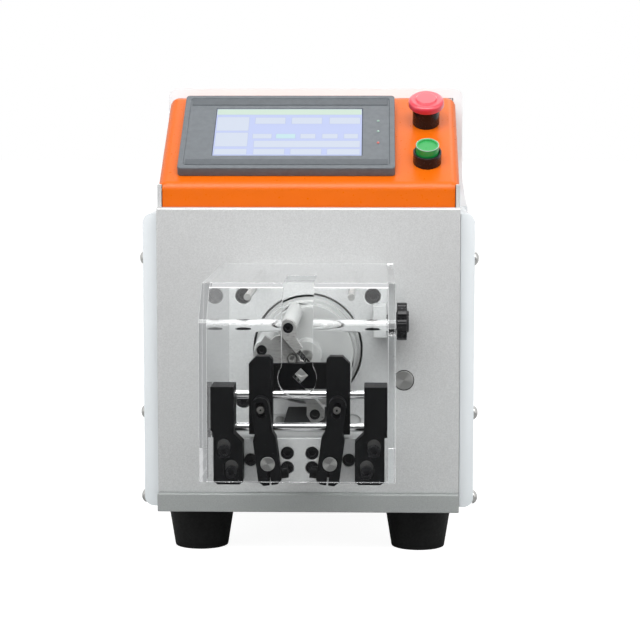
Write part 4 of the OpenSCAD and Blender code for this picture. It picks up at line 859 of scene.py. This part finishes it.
# %% Bands
BAND_EDGE, BAND_H, BAND_T, BAND_DROP, BAND_SOFT = 4.6, 6.4, 0.35, 0.8, 0.25
bands = bmesh.new()
for u in (bezel_low[1] + BAND_EDGE + BAND_H / 2, bezel_high[1] - BAND_EDGE - BAND_H / 2):
    middle = on_slope((bezel_low[0] + bezel_high[0]) / 2, u, bezel_high[2] - BAND_DROP)
    patch(bands, Matrix.Translation(middle) @ SLOPE_TURN,
          bezel_high[0] - bezel_low[0] - 2 * BAND_EDGE, BAND_H)
bmesh.ops.solidify(bands, geom=bands.faces[:], thickness=-BAND_T / 1000)
bmesh.ops.recalc_face_normals(bands, faces=bands.faces)
bevelled(bands, edges_between(bands, SOFT, math.pi), BAND_SOFT, 2)
strip = finish("strip_plastic", (0.078, 0.088, 0.098), 0.45, Specular_IOR_Level=0.3)
tint(strip, noise(strip.node_tree, 4.0), 0.08)
add_piece("bezel_bands", bands, body_of["screen_bezel"], "dark_plastic", strip)
print("band (mm):", BAND_H, "high")

# %% [markdown]
# Three small status lights sit at the right of the display. Each is a sphere sunk to about half in
# the housing, so that only its dome stands out.

# %% Lights
LIGHTS = (
    ("ready_light", 63.85, (0.30, 0.42, 0.36)),
    ("run_light", 51.65, (0.30, 0.42, 0.36)),
    ("fault_light", 38.6, (0.55, 0.12, 0.10)),
)
LIGHT_X, LIGHT_R, LIGHT_DROP = 43.65, 0.95, 0.9
for name, u, colour in LIGHTS:
    lens = finish(name, colour, 0.2, Coat_Weight=0.3)
    gloss(lens, noise(lens.node_tree, 2), 0.16, 0.24)
    place = Matrix.Translation(on_slope(LIGHT_X, u, bezel_high[2] - LIGHT_DROP)) @ SLOPE_TURN
    dome = bmesh.new()
    bmesh.ops.create_uvsphere(dome, u_segments=24, v_segments=12, radius=LIGHT_R / 1000,
                              matrix=place)
    add_piece(name, dome, body_of["screen_bezel"], "dark_plastic", lens)
print("lights:", len(LIGHTS))

# %% [markdown]
# ## Highlight ring of the start button
# The green cap is a moulded lens whose upper edge catches the light as a thin pale ring. That
# highlight is painted: a pale ring is laid on the edge. The ring helper of the shade rings makes
# it, turned to the slope of the console.

# %% Start rim highlight
START_U, RIM_DROP, RIM_IN, RIM_TUBE = 25.2, 0.15, 0.2, 0.28
cap_low, cap_high = slope_box("start_button")
cap_r = (cap_high[0] - cap_low[0]) / 2
cap_place = on_slope((cap_low[0] + cap_high[0]) / 2, START_U, cap_high[2] - RIM_DROP)
# A painted highlight: this ring's pale colour stands for the light the lens's edge catches.
painted_rim_highlight = finish("painted_rim_highlight", (0.30, 0.42, 0.36), 0.2, Coat_Weight=0.5)
gloss(painted_rim_highlight, noise(painted_rim_highlight.node_tree, 2), 0.15, 0.25)
ring("start_rim_highlight", Matrix.Translation(cap_place) @ SLOPE_TURN, cap_r - RIM_IN, RIM_TUBE,
     body_of["start_button"], "start_green", painted_rim_highlight)
print("cap (mm):", round(2 * cap_r, 1))
